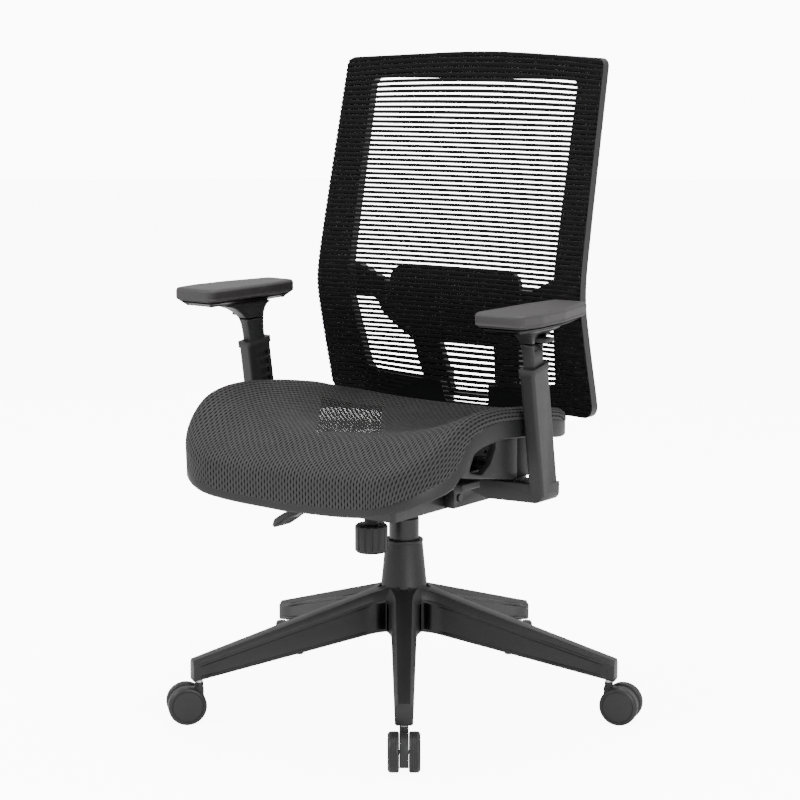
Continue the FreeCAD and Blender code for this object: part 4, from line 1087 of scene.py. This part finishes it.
@dataclass
class SeatShape:
    """Shape of the seat's cloth: a dish whose edge rolls over the rim and down its outside."""

    half: float = 0.250
    front: float = -0.300
    rear: float = 0.140
    roll_side: float = 0.015
    roll_front: float = 0.058
    roll_rear: float = 0.020
    core_corner_front: float = 0.088
    core_corner_rear: float = 0.072
    drop_side: float = 0.014
    drop_front: float = 0.046
    drop_rear: float = 0.014

    def __post_init__(self) -> None:
        """Prepares the curves of the surface."""
        sections = [
            (-0.302, 0.374, 0.380), (-0.292, 0.404, 0.404), (-0.270, 0.434, 0.436),
            (-0.240, 0.453, 0.468), (-0.205, 0.462, 0.493), (-0.160, 0.462, 0.507),
            (-0.110, 0.457, 0.511), (-0.050, 0.451, 0.507), (0.010, 0.449, 0.500),
            (0.070, 0.453, 0.490), (0.110, 0.463, 0.483), (0.145, 0.475, 0.476),
        ]
        self.middle = Smooth([(y, m) for y, m, _ in sections])
        self.side = Smooth([(y, s) for y, _, s in sections])
        shares = (0.0, 0.28, 0.42, 0.55, 0.68, 0.78, 0.86)
        rise = [(s, (s / 0.92) ** 2.4) for s in shares] + [(0.925, 0.965)]
        self.rise = Smooth(rise, level_ends=True)
        self.edge_across = Smooth(
            [(0.0, 0.372), (0.14, 0.379), (0.172, 0.385), (0.21, 0.399), (0.235, 0.414)]
        )
        self.edge_along = Smooth(
            [
                (-0.255, 0.412), (-0.2475, 0.415), (-0.2085, 0.437), (-0.19, 0.464),
                (-0.167, 0.480), (-0.123, 0.489), (-0.057, 0.491), (0.01, 0.485),
                (0.07, 0.473), (0.11, 0.462), (0.14, 0.452),
            ]
        )
        self.core_half = self.half - self.roll_side
        self.core_front = self.front + self.roll_front
        self.core_rear = self.rear - self.roll_rear

    def height(self, x: float, y: float) -> float:
        """Height of the cloth inside the roll."""
        low = self.middle(y)
        return low + (self.side(y) - low) * self.rise(abs(x) / 0.254)

    def nearest(self, x: float, y: float) -> tuple[Vector, Vector, float]:
        """Nearest point of the line where the roll starts.

        Args:
            x: place across the flat cloth.
            y: place along the flat cloth.

        Returns:
            The point, the outward normal there, and how far outside the place lies.
        """
        centre = (self.core_front + self.core_rear) / 2
        deep = (self.core_rear - self.core_front) / 2
        radius = self.core_corner_front if y < centre else self.core_corner_rear
        corner = Vector((self.core_half - radius, deep - radius))
        sign = Vector((math.copysign(1, x), math.copysign(1, y - centre)))
        local = Vector((abs(x), abs(y - centre))) - corner
        if local.x > 0 and local.y > 0:
            normal = local.normalized()
            gap = local.length - radius
        elif local.x > local.y:
            normal = Vector((1.0, 0.0))
            gap = local.x - radius
        else:
            normal = Vector((0.0, 1.0))
            gap = local.y - radius
        outward = Vector((normal.x * sign.x, normal.y * sign.y))
        point = Vector((x, y)) - outward * gap
        return point, outward, gap

    def blend_round(self, outward: Vector, side: float, front: float, rear: float) -> float:
        """Value between those of the side, the front and the rear, by direction."""
        other = front if outward.y < 0 else rear
        return side * outward.x**2 + other * outward.y**2

    def edge_height(self, x: float, y: float) -> float:
        """Height at which the cloth ends, for a place on the outline."""
        share = ease(-0.275, -0.235, y)
        return mix(self.edge_across(abs(x)), self.edge_along(y), share)

    def roll(self, point: Vector, outward: Vector) -> tuple[list[Vector], Vector]:
        """Side view of the roll at one point of its line.

        Args:
            point: where the roll starts, in plan.
            outward: outward direction there.

        Returns:
            Control points (out, up) of the curve, and the point where the cloth ends.
        """
        top = self.height(point.x, point.y)
        inside = point - outward * 0.003
        slope = (self.height(inside.x, inside.y) - top) / 0.003
        reach = self.blend_round(outward, self.roll_side, self.roll_front, self.roll_rear)
        drop = self.blend_round(outward, self.drop_side, self.drop_front, self.drop_rear)
        start = Vector((0.0, top))
        fall = Vector((1.0, -slope)).normalized()
        end = Vector((reach, top - drop))
        rim = point + outward * reach
        last = Vector((reach - 0.001, min(self.edge_height(rim.x, rim.y), end.y - 0.004)))
        grip = 0.6
        controls = [start, start + fall * reach * grip, end + Vector((0, drop * 0.62)), end]
        return controls, last

    def wrap(
        self, u: float, v: float, lift: float = 0.0, past: float | None = None
    ) -> tuple[Vector, float]:
        """Where a place of the flat cloth lies on the seat.

        Args:
            u: place across the flat cloth.
            v: place along the flat cloth.
            lift: distance above the cloth.
            past: length past the start of the roll, instead of the flat distance.

        Returns:
            The point, and how far it is past the end of the cloth, in metres.
        """
        point, outward, gap = self.nearest(u, v)
        if past is not None:
            gap = past
        if gap <= 0:
            z = self.height(u, v)
            if lift == 0.0:
                return Vector((u, v, z)), -1.0
            step = 0.002
            dx = (self.height(u + step, v) - self.height(u - step, v)) / (2 * step)
            dy = (self.height(u, v + step) - self.height(u, v - step)) / (2 * step)
            normal = Vector((-dx, -dy, 1.0)).normalized()
            return Vector((u, v, z)) + normal * lift, -1.0
        controls, last = self.roll(point, outward)
        chord = (controls[3] - controls[0]).length
        net = sum((b - a).length for a, b in zip(controls, controls[1:]))
        length = (chord + net) / 2
        skirt = (last - controls[3]).length
        if gap < length:
            t = gap / length
            a, b, c, d = controls
            s = 1 - t
            flat = a * s**3 + b * 3 * s * s * t + c * 3 * s * t * t + d * t**3
            run = (b - a) * s * s + (c - b) * 2 * s * t + (d - c) * t * t
        else:
            share = min(1.0, (gap - length) / skirt)
            flat = controls[3].lerp(last, share)
            run = last - controls[3]
        run.normalize()
        flat = flat + Vector((-run.y, run.x)) * lift
        place = point + outward * flat.x
        return Vector((place.x, place.y, flat.y)), gap - length - skirt


@dataclass
class Seat:
    """Mesh seat with its plastic rim, steel plate and screws."""

    shape: SeatShape
    pitch: float = 0.0055
    wave: float = 0.0100
    swing: float = 0.0007
    yarn: float = 0.0038
    yarn_thick: float = 0.0007
    yarn_field: tuple[float, float, float] = (0.300, -0.370, 0.200)
    ground_rings: int = 26
    roll_rings: int = 12
    stations: int = 176
    rim_front: float = 0.011
    rim_side: float = 0.026

    def build(self, palette: Palette) -> None:
        """Makes the cloth, its yarns and the frame under it."""
        sheet = self._ground(palette)
        yarns = self._yarns(palette)
        self._rim(palette)
        softened_node("seat_plate", "seat", palette.coat, 0.0008)
        paint_node("seat_screws", palette.coat)

    def _line(self) -> list[Vector]:
        """Points of the line where the roll starts, anticlockwise in plan."""
        shape = self.shape
        near, far = shape.core_corner_front, shape.core_corner_rear
        corners = [
            (-shape.core_half, shape.core_front, near), (shape.core_half, shape.core_front, near),
            (shape.core_half, shape.core_rear, far), (-shape.core_half, shape.core_rear, far),
        ]
        outline = rounded_outline(corners, 16)
        return even_points(outline, self.stations)

    def _ground(self, palette: Palette) -> bpy.types.Object:
        """Closed thin cloth in rings round its middle."""
        line = self._line()
        middle = Vector((0.0, -0.06))
        inner, outer = self.ground_rings, self.roll_rings
        bm = bmesh.new()
        bmesh.ops.create_grid(bm, x_segments=self.stations, y_segments=inner + outer, size=1.0)
        layer = bm.loops.layers.uv.new("cloth")
        places: dict[bmesh.types.BMVert, Point] = {}
        for vert in bm.verts:
            station = round((vert.co.x + 1) / 2 * self.stations) % self.stations
            ring = round((vert.co.y + 1) / 2 * (inner + outer))
            start = line[station]
            if ring <= inner:
                flat = middle.lerp(start, ring / inner)
                vert.co, _ = self.shape.wrap(flat.x, flat.y)
            else:
                _, outward, _ = self.shape.nearest(start.x, start.y)
                length = self._wrap_length(start, outward) * (ring - inner) / outer
                flat = start + outward * length
                vert.co, _ = self.shape.wrap(start.x, start.y, 0.0, length)
            places[vert] = (flat.x, flat.y)
        lay_map(bm, layer, places)
        bmesh.ops.remove_doubles(bm, verts=bm.verts, dist=WELD)
        bmesh.ops.recalc_face_normals(bm, faces=bm.faces)
        bmesh.ops.solidify(bm, geom=bm.faces, thickness=0.0006)
        return finish_piece(bm, "seat_cloth", "seat", palette.seat_knit, ["seat_mesh"])

    def _wrap_length(self, start: Vector, outward: Vector) -> float:
        """Length of the cloth past the line where the roll starts."""
        controls, last = self.shape.roll(start, outward)
        chord = (controls[3] - controls[0]).length
        net = sum((b - a).length for a, b in zip(controls, controls[1:]))
        return (chord + net) / 2 + (last - controls[3]).length

    def _yarns(self, palette: Palette) -> bpy.types.Object:
        """Wavy yarns that run fore and aft, in turn to one side and the other."""
        wide, low, high = self.yarn_field
        count = round(2 * wide / self.pitch)
        steps = round((high - low) / (self.wave / 4))
        bm = bmesh.new()
        bmesh.ops.create_grid(bm, x_segments=2 * count - 1, y_segments=steps, size=1.0)
        gaps = [
            f for f in bm.faces
            if round((f.calc_center_median().x + 1) / 2 * (2 * count - 1) - 0.5) % 2
        ]
        bmesh.ops.delete(bm, geom=gaps, context="FACES")
        layer = bm.loops.layers.uv.new("cloth")
        gone = set()
        places: dict[bmesh.types.BMVert, Point] = {}
        for vert in bm.verts:
            column = round((vert.co.x + 1) / 2 * (2 * count - 1))
            row = round((vert.co.y + 1) / 2 * steps)
            strand, edge = divmod(column, 2)
            v = low + (high - low) * row / steps
            sway = self.swing * math.sin(2 * math.pi * v / self.wave + math.pi * (strand % 2))
            u = -wide + (strand + 0.5) * self.pitch + sway + (edge - 0.5) * self.yarn
            place, past = self.shape.wrap(u, v, self.yarn_thick)
            if past > 0.0:
                gone.add(vert)
            places[vert] = (u, v)
            vert.co = place
        lay_map(bm, layer, places)
        bmesh.ops.delete(bm, geom=list(gone), context="VERTS")
        bmesh.ops.recalc_face_normals(bm, faces=bm.faces)
        bmesh.ops.solidify(bm, geom=bm.faces, thickness=-self.yarn_thick)
        return finish_piece(bm, "seat_yarns", "seat", palette.seat_yarn)

    def _rim(self, palette: Palette) -> None:
        """Rim under the cloth's edge, side walls with their openings, and cross beams."""
        bm = bmesh.new()
        ring: list[list[Vector]] = []
        for start in self._line():
            _, outward, _ = self.shape.nearest(start.x, start.y)
            controls, last = self.shape.roll(start, outward)
            reach = controls[3].x
            top = last.y
            deep = self.shape.blend_round(outward, self.rim_side, self.rim_front, self.rim_front)
            section = [
                (reach - 0.0015, top + 0.004), (reach + 0.0003, top - 0.0005),
                (reach + 0.0003, top - deep + 0.002), (reach - 0.0017, top - deep),
                (reach - 0.012, top - deep), (reach - 0.016, top - deep + 0.004),
                (reach - 0.016, top + 0.006), (reach - 0.008, top + 0.009),
            ]
            ring.append(
                [Vector((*(start + outward * out), up)) for out, up in section]
            )
        tube_from_rings(bm, ring)
        finish_piece(bm, "seat_rim", "seat", palette.frame_nylon, ["seat_frame"])
        self._walls(palette)

    def _walls(self, palette: Palette) -> None:
        """Side walls with their openings, the blocks behind the arms, and cross beams."""
        bm = bmesh.new()
        outer = rounded_outline(
            [
                (-0.190, 0.420, 0.004), (-0.040, 0.3955, 0.012), (-0.040, 0.484, 0.006),
                (-0.120, 0.482, 0.010), (-0.168, 0.464, 0.008),
            ]
        )
        inner = rounded_outline(
            [
                (-0.1683, 0.4250, 0.004), (-0.1350, 0.4165, 0.010), (-0.1120, 0.4300, 0.012),
                (-0.0985, 0.4520, 0.014), (-0.0985, 0.4645, 0.004), (-0.1250, 0.4635, 0.020),
                (-0.1550, 0.4490, 0.012),
            ]
        )
        for sign in (1, -1):
            wall = bmesh.new()
            edges: list[bmesh.types.BMEdge] = []
            for outline in (outer, inner):
                verts = [wall.verts.new((sign * 0.239, y, z)) for y, z in even_points(outline, 72)]
                edges += [wall.edges.new(pair) for pair in zip(verts, verts[1:] + verts[:1])]
            bmesh.ops.bridge_loops(wall, edges=edges)
            bmesh.ops.recalc_face_normals(wall, faces=wall.faces)
            thick = bmesh.ops.extrude_face_region(wall, geom=wall.faces[:], use_keep_orig=True)
            moved = [g for g in thick["geom"] if isinstance(g, bmesh.types.BMVert)]
            bmesh.ops.translate(wall, vec=(-sign * 0.012, 0, 0), verts=moved)
            bmesh.ops.recalc_face_normals(wall, faces=wall.faces)
            soften_edges(wall, 0.0016, 2, 60)
            join(bm, wall)
            add_block(bm, (sign * 0.2275, 0.004, 0.437), (0.011, 0.074, 0.084), 0.003)
        for middle in (-0.150, 0.006):
            add_block(bm, (0.0, middle, 0.402), (0.462, 0.046, 0.010), 0.0015)
        finish_piece(bm, "seat_walls", "seat", palette.frame_nylon)


def add_block(
    bm: bmesh.types.BMesh, middle: Sequence[float], sizes: Sequence[float], rounding: float
) -> None:
    """Adds a block with softened edges."""
    block = bmesh.new()
    bmesh.ops.create_cube(block, size=1.0)
    bmesh.ops.scale(block, vec=sizes, verts=block.verts)
    bmesh.ops.translate(block, vec=middle, verts=block.verts)
    soften_edges(block, rounding, 3)
    join(bm, block)


def tube_from_rings(bm: bmesh.types.BMesh, rings: Sequence[Sequence[Vector]]) -> None:
    """Closed ring-shaped solid through sections, from a grid bent round."""
    count, size = len(rings), len(rings[0])
    bmesh.ops.create_grid(bm, x_segments=count, y_segments=size, size=1.0)
    for vert in bm.verts:
        i = round((vert.co.x + 1) / 2 * count) % count
        j = round((vert.co.y + 1) / 2 * size) % size
        vert.co = rings[i][j]
    bmesh.ops.remove_doubles(bm, verts=bm.verts, dist=WELD)
    bmesh.ops.recalc_face_normals(bm, faces=bm.faces)


def even_points(outline: Sequence[Point], count: int) -> list[Vector]:
    """Points evenly spaced round a closed outline."""
    points = [Vector(p) for p in outline]
    points.append(points[0].copy())
    lengths = [0.0]
    for a, b in zip(points, points[1:]):
        lengths.append(lengths[-1] + (b - a).length)
    result = []
    k = 0
    for i in range(count):
        goal = lengths[-1] * i / count
        while lengths[k + 1] < goal:
            k += 1
        span = lengths[k + 1] - lengths[k]
        share = 0.0 if span == 0 else (goal - lengths[k]) / span
        result.append(points[k].lerp(points[k + 1], share))
    return result


# -------------------------------------------------------------------------- arms


@dataclass
class Arm:
    """One arm: bracket, sliding post, trigger and pad."""

    side: Side
    sleeve: Vector
    pad_place: Vector
    lean: float = math.radians(9.0)
    toe: float = math.radians(5.0)
    pad_toe: float = math.radians(3.0)
    pad_floor: float = 0.641
    pad_top: float = 0.661
    tray_top: float = 0.631
    pad_scale: Point = (1.04, 1.04)

    def build(self, palette: Palette) -> None:
        """Makes the post and the pad and dresses the rest."""
        self._bracket(palette)
        self._post(palette)
        word = self.side.word
        softened_node(f"arm_trigger_{word}", f"trigger_{word}", palette.nylon, 0.0010)
        self._pad_base(palette)
        self._pad(palette)

    def _bracket(self, palette: Palette) -> None:
        """Sleeve and bar, the bar's underside drawn up towards the seat."""
        word = self.side.word
        bm = from_node(f"arm_bracket_{word}")
        cut_across(bm, self.side.value * 0.190)
        for vert in bm.verts:
            reach = abs(vert.co.x)
            if reach < 0.250 and vert.co.z < 0.400:
                vert.co.y -= (0.250 - reach) * 0.14
            if reach < 0.150 and vert.co.z < 0.370:
                vert.co.z = 0.382
        soften_edges(bm, 0.0012)
        piece = f"arm_bracket_{word}_piece"
        finish_piece(bm, piece, "seat", palette.nylon, [f"arm_bracket_{word}"])

    def _section(
        self, height: float, half: Point, shift: float, notch: float, corner: float = 0.005
    ) -> list[Vector]:
        """Section of the post at a height.

        Args:
            height: height above the floor.
            half: half sizes across and along.
            shift: share of the way from the sleeve's axis to the pad's.
            notch: inner end of the trigger's pocket, from the middle.
            corner: rounding of the section.

        Returns:
            Points of the section, anticlockwise for the left arm.
        """
        sign = self.side.value
        axis = self.sleeve + Vector((0, -math.tan(self.lean), 1)) * (height - self.sleeve.z)
        axis = axis.lerp(Vector((self.pad_place.x, self.pad_place.y, height)), shift)
        wide, deep = half
        pocket = 0.0124
        cut = corner * 0.3
        flat = [
            (notch, -pocket), (wide, -pocket),
            (wide, -deep + corner), (wide - cut, -deep + cut), (wide - corner, -deep),
            (-wide + corner, -deep), (-wide + cut, -deep + cut), (-wide, -deep + corner),
            (-wide, deep - corner), (-wide + cut, deep - cut), (-wide + corner, deep),
            (wide - corner, deep), (wide - cut, deep - cut), (wide, deep - corner),
            (wide, pocket), (notch, pocket),
        ]
        spin = Matrix.Rotation(sign * self.toe, 3, "Z")
        return [axis + spin @ Vector((x * sign, y, 0)) for x, y in flat]

    def _post(self, palette: Palette) -> None:
        """Sliding post that flares out under the pad, with the trigger's pocket."""
        word = self.side.word
        bm = bmesh.new()
        shut = 0.0089
        rings = [
            self._section(0.442, (0.0090, 0.0170), 0.0, shut, 0.003),
            self._section(0.570, (0.0090, 0.0170), 0.0, shut, 0.003),
            self._section(0.584, (0.0092, 0.0173), 0.0, 0.0091, 0.003),
            self._section(0.595, (0.0096, 0.0180), 0.01, 0.0095, 0.003),
            self._section(0.600, (0.0100, 0.0187), 0.02, 0.0040, 0.003),
            self._section(0.6060, (0.0108, 0.0205), 0.05, 0.0030, 0.004),
            self._section(0.6130, (0.0128, 0.0245), 0.15, 0.0030, 0.006),
            self._section(0.6205, (0.0165, 0.0320), 0.36, 0.0030, 0.008),
            self._section(0.6210, (0.0168, 0.0325), 0.38, 0.0167, 0.008),
            self._section(0.6260, (0.0210, 0.0430), 0.66, 0.0209, 0.012),
            self._section(0.6290, (0.0238, 0.0520), 0.80, 0.0237, 0.015),
            self._section(0.6300, (0.0240, 0.0530), 0.82, 0.0239, 0.015),
            self._section(self.tray_top, (0.0235, 0.0525), 0.82, 0.0234, 0.015),
        ]
        loft(bm, rings)
        piece = f"arm_post_{word}_piece"
        finish_piece(
            bm, piece, f"arm_{word}", palette.frame_nylon, [f"arm_post_{word}"]
        )

    def _plan(self) -> list[Point]:
        """Outline of the pad: straight inside, bowed outside, widest near its front."""
        corners = [
            (-0.0420, -0.1030, 0.013), (0.0370, -0.1030, 0.012), (0.0455, -0.0560, 0.060),
            (0.0440, 0.0100, 0.080), (0.0330, 0.0800, 0.050), (0.0290, 0.1030, 0.010),
            (-0.0270, 0.1030, 0.010), (-0.0370, 0.0300, 0.080),
        ]
        wide, long = self.pad_scale
        return [(x * wide, y * long) for x, y in rounded_outline(corners, 6)]

    def _layers(self, layers: Sequence[Point]) -> list[list[Vector]]:
        """Rings of the pad's outline.

        Args:
            layers: pairs of inset and height, from the bottom up.

        Returns:
            The rings in place.
        """
        sign = self.side.value
        spin = Matrix.Rotation(sign * self.pad_toe, 3, "Z")
        rings = []
        for inset, height in layers:
            outline = inset_outline(self._plan(), inset)
            centre = Vector((self.pad_place.x, self.pad_place.y, height))
            rings.append([centre + spin @ Vector((x * sign, y, 0)) for x, y in outline])
        return rings

    def _pad_base(self, palette: Palette) -> None:
        """Plate under the pad with a wide bevel."""
        word = self.side.word
        bm = bmesh.new()
        low = self.tray_top + 0.0004
        layers = [(0.0180, low), (0.0165, low + 0.0012), (0.0050, 0.6395), (0.0045, 0.6409)]
        loft(bm, self._layers(layers))
        finish_piece(
            bm, f"arm_pad_base_{word}_piece", f"pad_{word}", palette.nylon,
            [f"arm_pad_base_{word}"],
        )

    def _pad(self, palette: Palette) -> None:
        """Soft-topped pad."""
        word = self.side.word
        bm = bmesh.new()
        low, top = self.pad_floor, self.pad_top
        layers = [
            (0.0060, low), (0.0030, low + 0.0002), (0.0008, low + 0.0012), (0.0002, low + 0.0030),
            (0.0, low + 0.0060), (0.0, top - 0.0060), (0.0004, top - 0.0038),
            (0.0014, top - 0.0020), (0.0030, top - 0.0008), (0.0055, top - 0.0001), (0.0090, top),
        ]
        loft(bm, self._layers(layers))
        pad = finish_piece(
            bm, f"arm_pad_{word}_piece", f"pad_{word}", palette.pad, [f"arm_pad_{word}"]
        )


# -------------------------------------------------------------------------- back


@dataclass
class Back:
    """Mesh back with its frame, spine, lumbar pad and yoke."""

    waist: float = 0.656
    waist_y: float = 0.1035
    upper_slope: float = 0.225
    lower_slope: float = 0.262
    bend: float = 0.030
    bow: float = 0.028
    bow_half: float = 0.259
    floor: float = 0.462
    top: float = 1.018
    crown: float = 1.030
    top_half: float = 0.246
    waist_half: float = 0.255
    pitch: float = 0.0076
    band: float = 0.0038
    sag: float = 0.014
    sag_half: float = 0.200

    def build(self, palette: Palette) -> None:
        """Makes the cloth and dresses the frame."""
        sheet = self._cloth(palette)
        ribs = self._ribs(palette)
        # These pieces get painted shade, a near-black nylon, on their faces behind the cloth.
        shade_painted_pieces = [
            self._frame(palette),
            softened_node("back_spine", "back", palette.nylon, 0.0016),
            softened_node("lumbar_pad", "lumbar", palette.frame_nylon, 0.0020),
        ]
        for piece in shade_painted_pieces:
            darken_front(piece, palette.painted_shade_black)
        softened_node("back_yoke", "back", palette.coat, 0.0014)
        paint_node("back_screws", palette.zinc)

    def edge_line(self, z: float) -> float:
        """How far back the edge of the back lies at a height."""
        above = z - self.waist
        turned = math.hypot(above, self.bend) - self.bend
        slopes = (self.upper_slope, self.lower_slope)
        return self.waist_y + (slopes[0] - slopes[1]) / 2 * above + sum(slopes) / 2 * turned

    def surface(self, x: float, z: float, behind: float = 0.0) -> Vector:
        """Point of the back's face, or behind it."""
        y = self.edge_line(z) + self.bow * (1 - (x / self.bow_half) ** 2)
        return Vector((x, y + behind, z))

    def half_width(self, z: float) -> float:
        """Half width of the back at a height, with its rounded corners."""
        share = min(1.0, max(0.0, (z - self.waist) / (self.top - self.waist)))
        half = mix(self.waist_half, self.top_half, share)
        for edge, radius, sign in ((self.floor, 0.022, 1), (self.top + 0.002, 0.014, -1)):
            inside = (z - edge) * sign
            if inside < radius:
                half -= radius - math.sqrt(max(0.0, radius**2 - (radius - max(inside, 0.0)) ** 2))
        return half

    def dip(self, x: float, z: float) -> float:
        """How far the bottom edge hangs lower towards the middle."""
        return self.sag * max(0.0, 1 - (x / self.sag_half) ** 2) * (1 - ease(0.500, 0.560, z))

    def height_at(self, share: float, z: float) -> float:
        """Height of a row at a share of the half width: the edge rows follow the arched edges."""
        arch = (self.crown - self.top) * (1 - share * share)
        return z + arch * ease(0.90, self.top, z) - self.dip(share * self.waist_half, z)

    def _frame(self, palette: Palette) -> bpy.types.Object:
        """Frame, its bottom rail bowed down towards the middle."""
        bm = from_node("back_frame")
        for number in range(-5, 6):
            cut_across(bm, number * self.sag_half / 5)
        for vert in bm.verts:
            vert.co.z -= self.dip(vert.co.x, vert.co.z)
        soften_edges(bm, 0.0012)
        return finish_piece(
            bm, "back_frame_piece", "back", palette.nylon, ["back_frame"]
        )

    def _cloth(self, palette: Palette) -> bpy.types.Object:
        """Closed thin cloth over the whole back."""
        columns, rows = 48, 70
        bm = bmesh.new()
        bmesh.ops.create_grid(bm, x_segments=columns, y_segments=rows, size=1.0)
        layer = bm.loops.layers.uv.new("cloth")
        places: dict[bmesh.types.BMVert, Point] = {}
        for vert in bm.verts:
            share = vert.co.x
            z = mix(self.floor, self.top, (vert.co.y + 1) / 2)
            x = share * self.half_width(z)
            places[vert] = (x, z)
            vert.co = self.surface(x, self.height_at(share, z), 0.0012)
        lay_map(bm, layer, places)
        bmesh.ops.recalc_face_normals(bm, faces=bm.faces)
        bmesh.ops.solidify(bm, geom=bm.faces, thickness=0.0005)
        return finish_piece(bm, "back_cloth", "back", palette.back_knit, ["back_mesh"])

    def _ribs(self, palette: Palette) -> bpy.types.Object:
        """Dark bands of the cloth."""
        columns = 44
        rows = int((self.top - self.floor) / self.pitch)
        bm = bmesh.new()
        bmesh.ops.create_grid(bm, x_segments=columns, y_segments=2 * rows - 1, size=1.0)
        gaps = [
            f for f in bm.faces
            if round((f.calc_center_median().y + 1) / 2 * (2 * rows - 1) - 0.5) % 2
        ]
        bmesh.ops.delete(bm, geom=gaps, context="FACES")
        layer = bm.loops.layers.uv.new("cloth")
        places: dict[bmesh.types.BMVert, Point] = {}
        for vert in bm.verts:
            number, edge = divmod(round((vert.co.y + 1) / 2 * (2 * rows - 1)), 2)
            base = self.floor + 0.0008 + number * self.pitch
            z = base + edge * self.band
            share = vert.co.x
            x = share * (self.half_width(base + self.band / 2) - 0.0015)
            places[vert] = (x, z)
            vert.co = self.surface(x, self.height_at(share, z), 0.0004)
        lay_map(bm, layer, places)
        bmesh.ops.recalc_face_normals(bm, faces=bm.faces)
        bmesh.ops.solidify(bm, geom=bm.faces, thickness=0.0006)
        return finish_piece(bm, "back_ribs", "back", palette.back_yarn)


# -------------------------------------------------------------------------- main


def main() -> None:
    """Builds the chair's looks in order and reports the pieces."""
    logging.basicConfig(level=logging.INFO, format="%(message)s")
    palette = Palette()
    Studio().build(palette)
    StarBase().build(palette)
    Column().build(palette)
    Casters().build(palette)
    Mechanism(Vector((-0.076, -0.022, 0.328))).build(palette)
    Seat(SeatShape()).build(palette)
    for side in Side:
        sleeve = Vector((side.value * 0.268, -0.012, 0.376))
        pad_place = Vector((side.value * 0.283, -0.064, 0.641))
        Arm(side, sleeve, pad_place).build(palette)
    Back().build(palette)


if __name__ == "__main__":
    main()
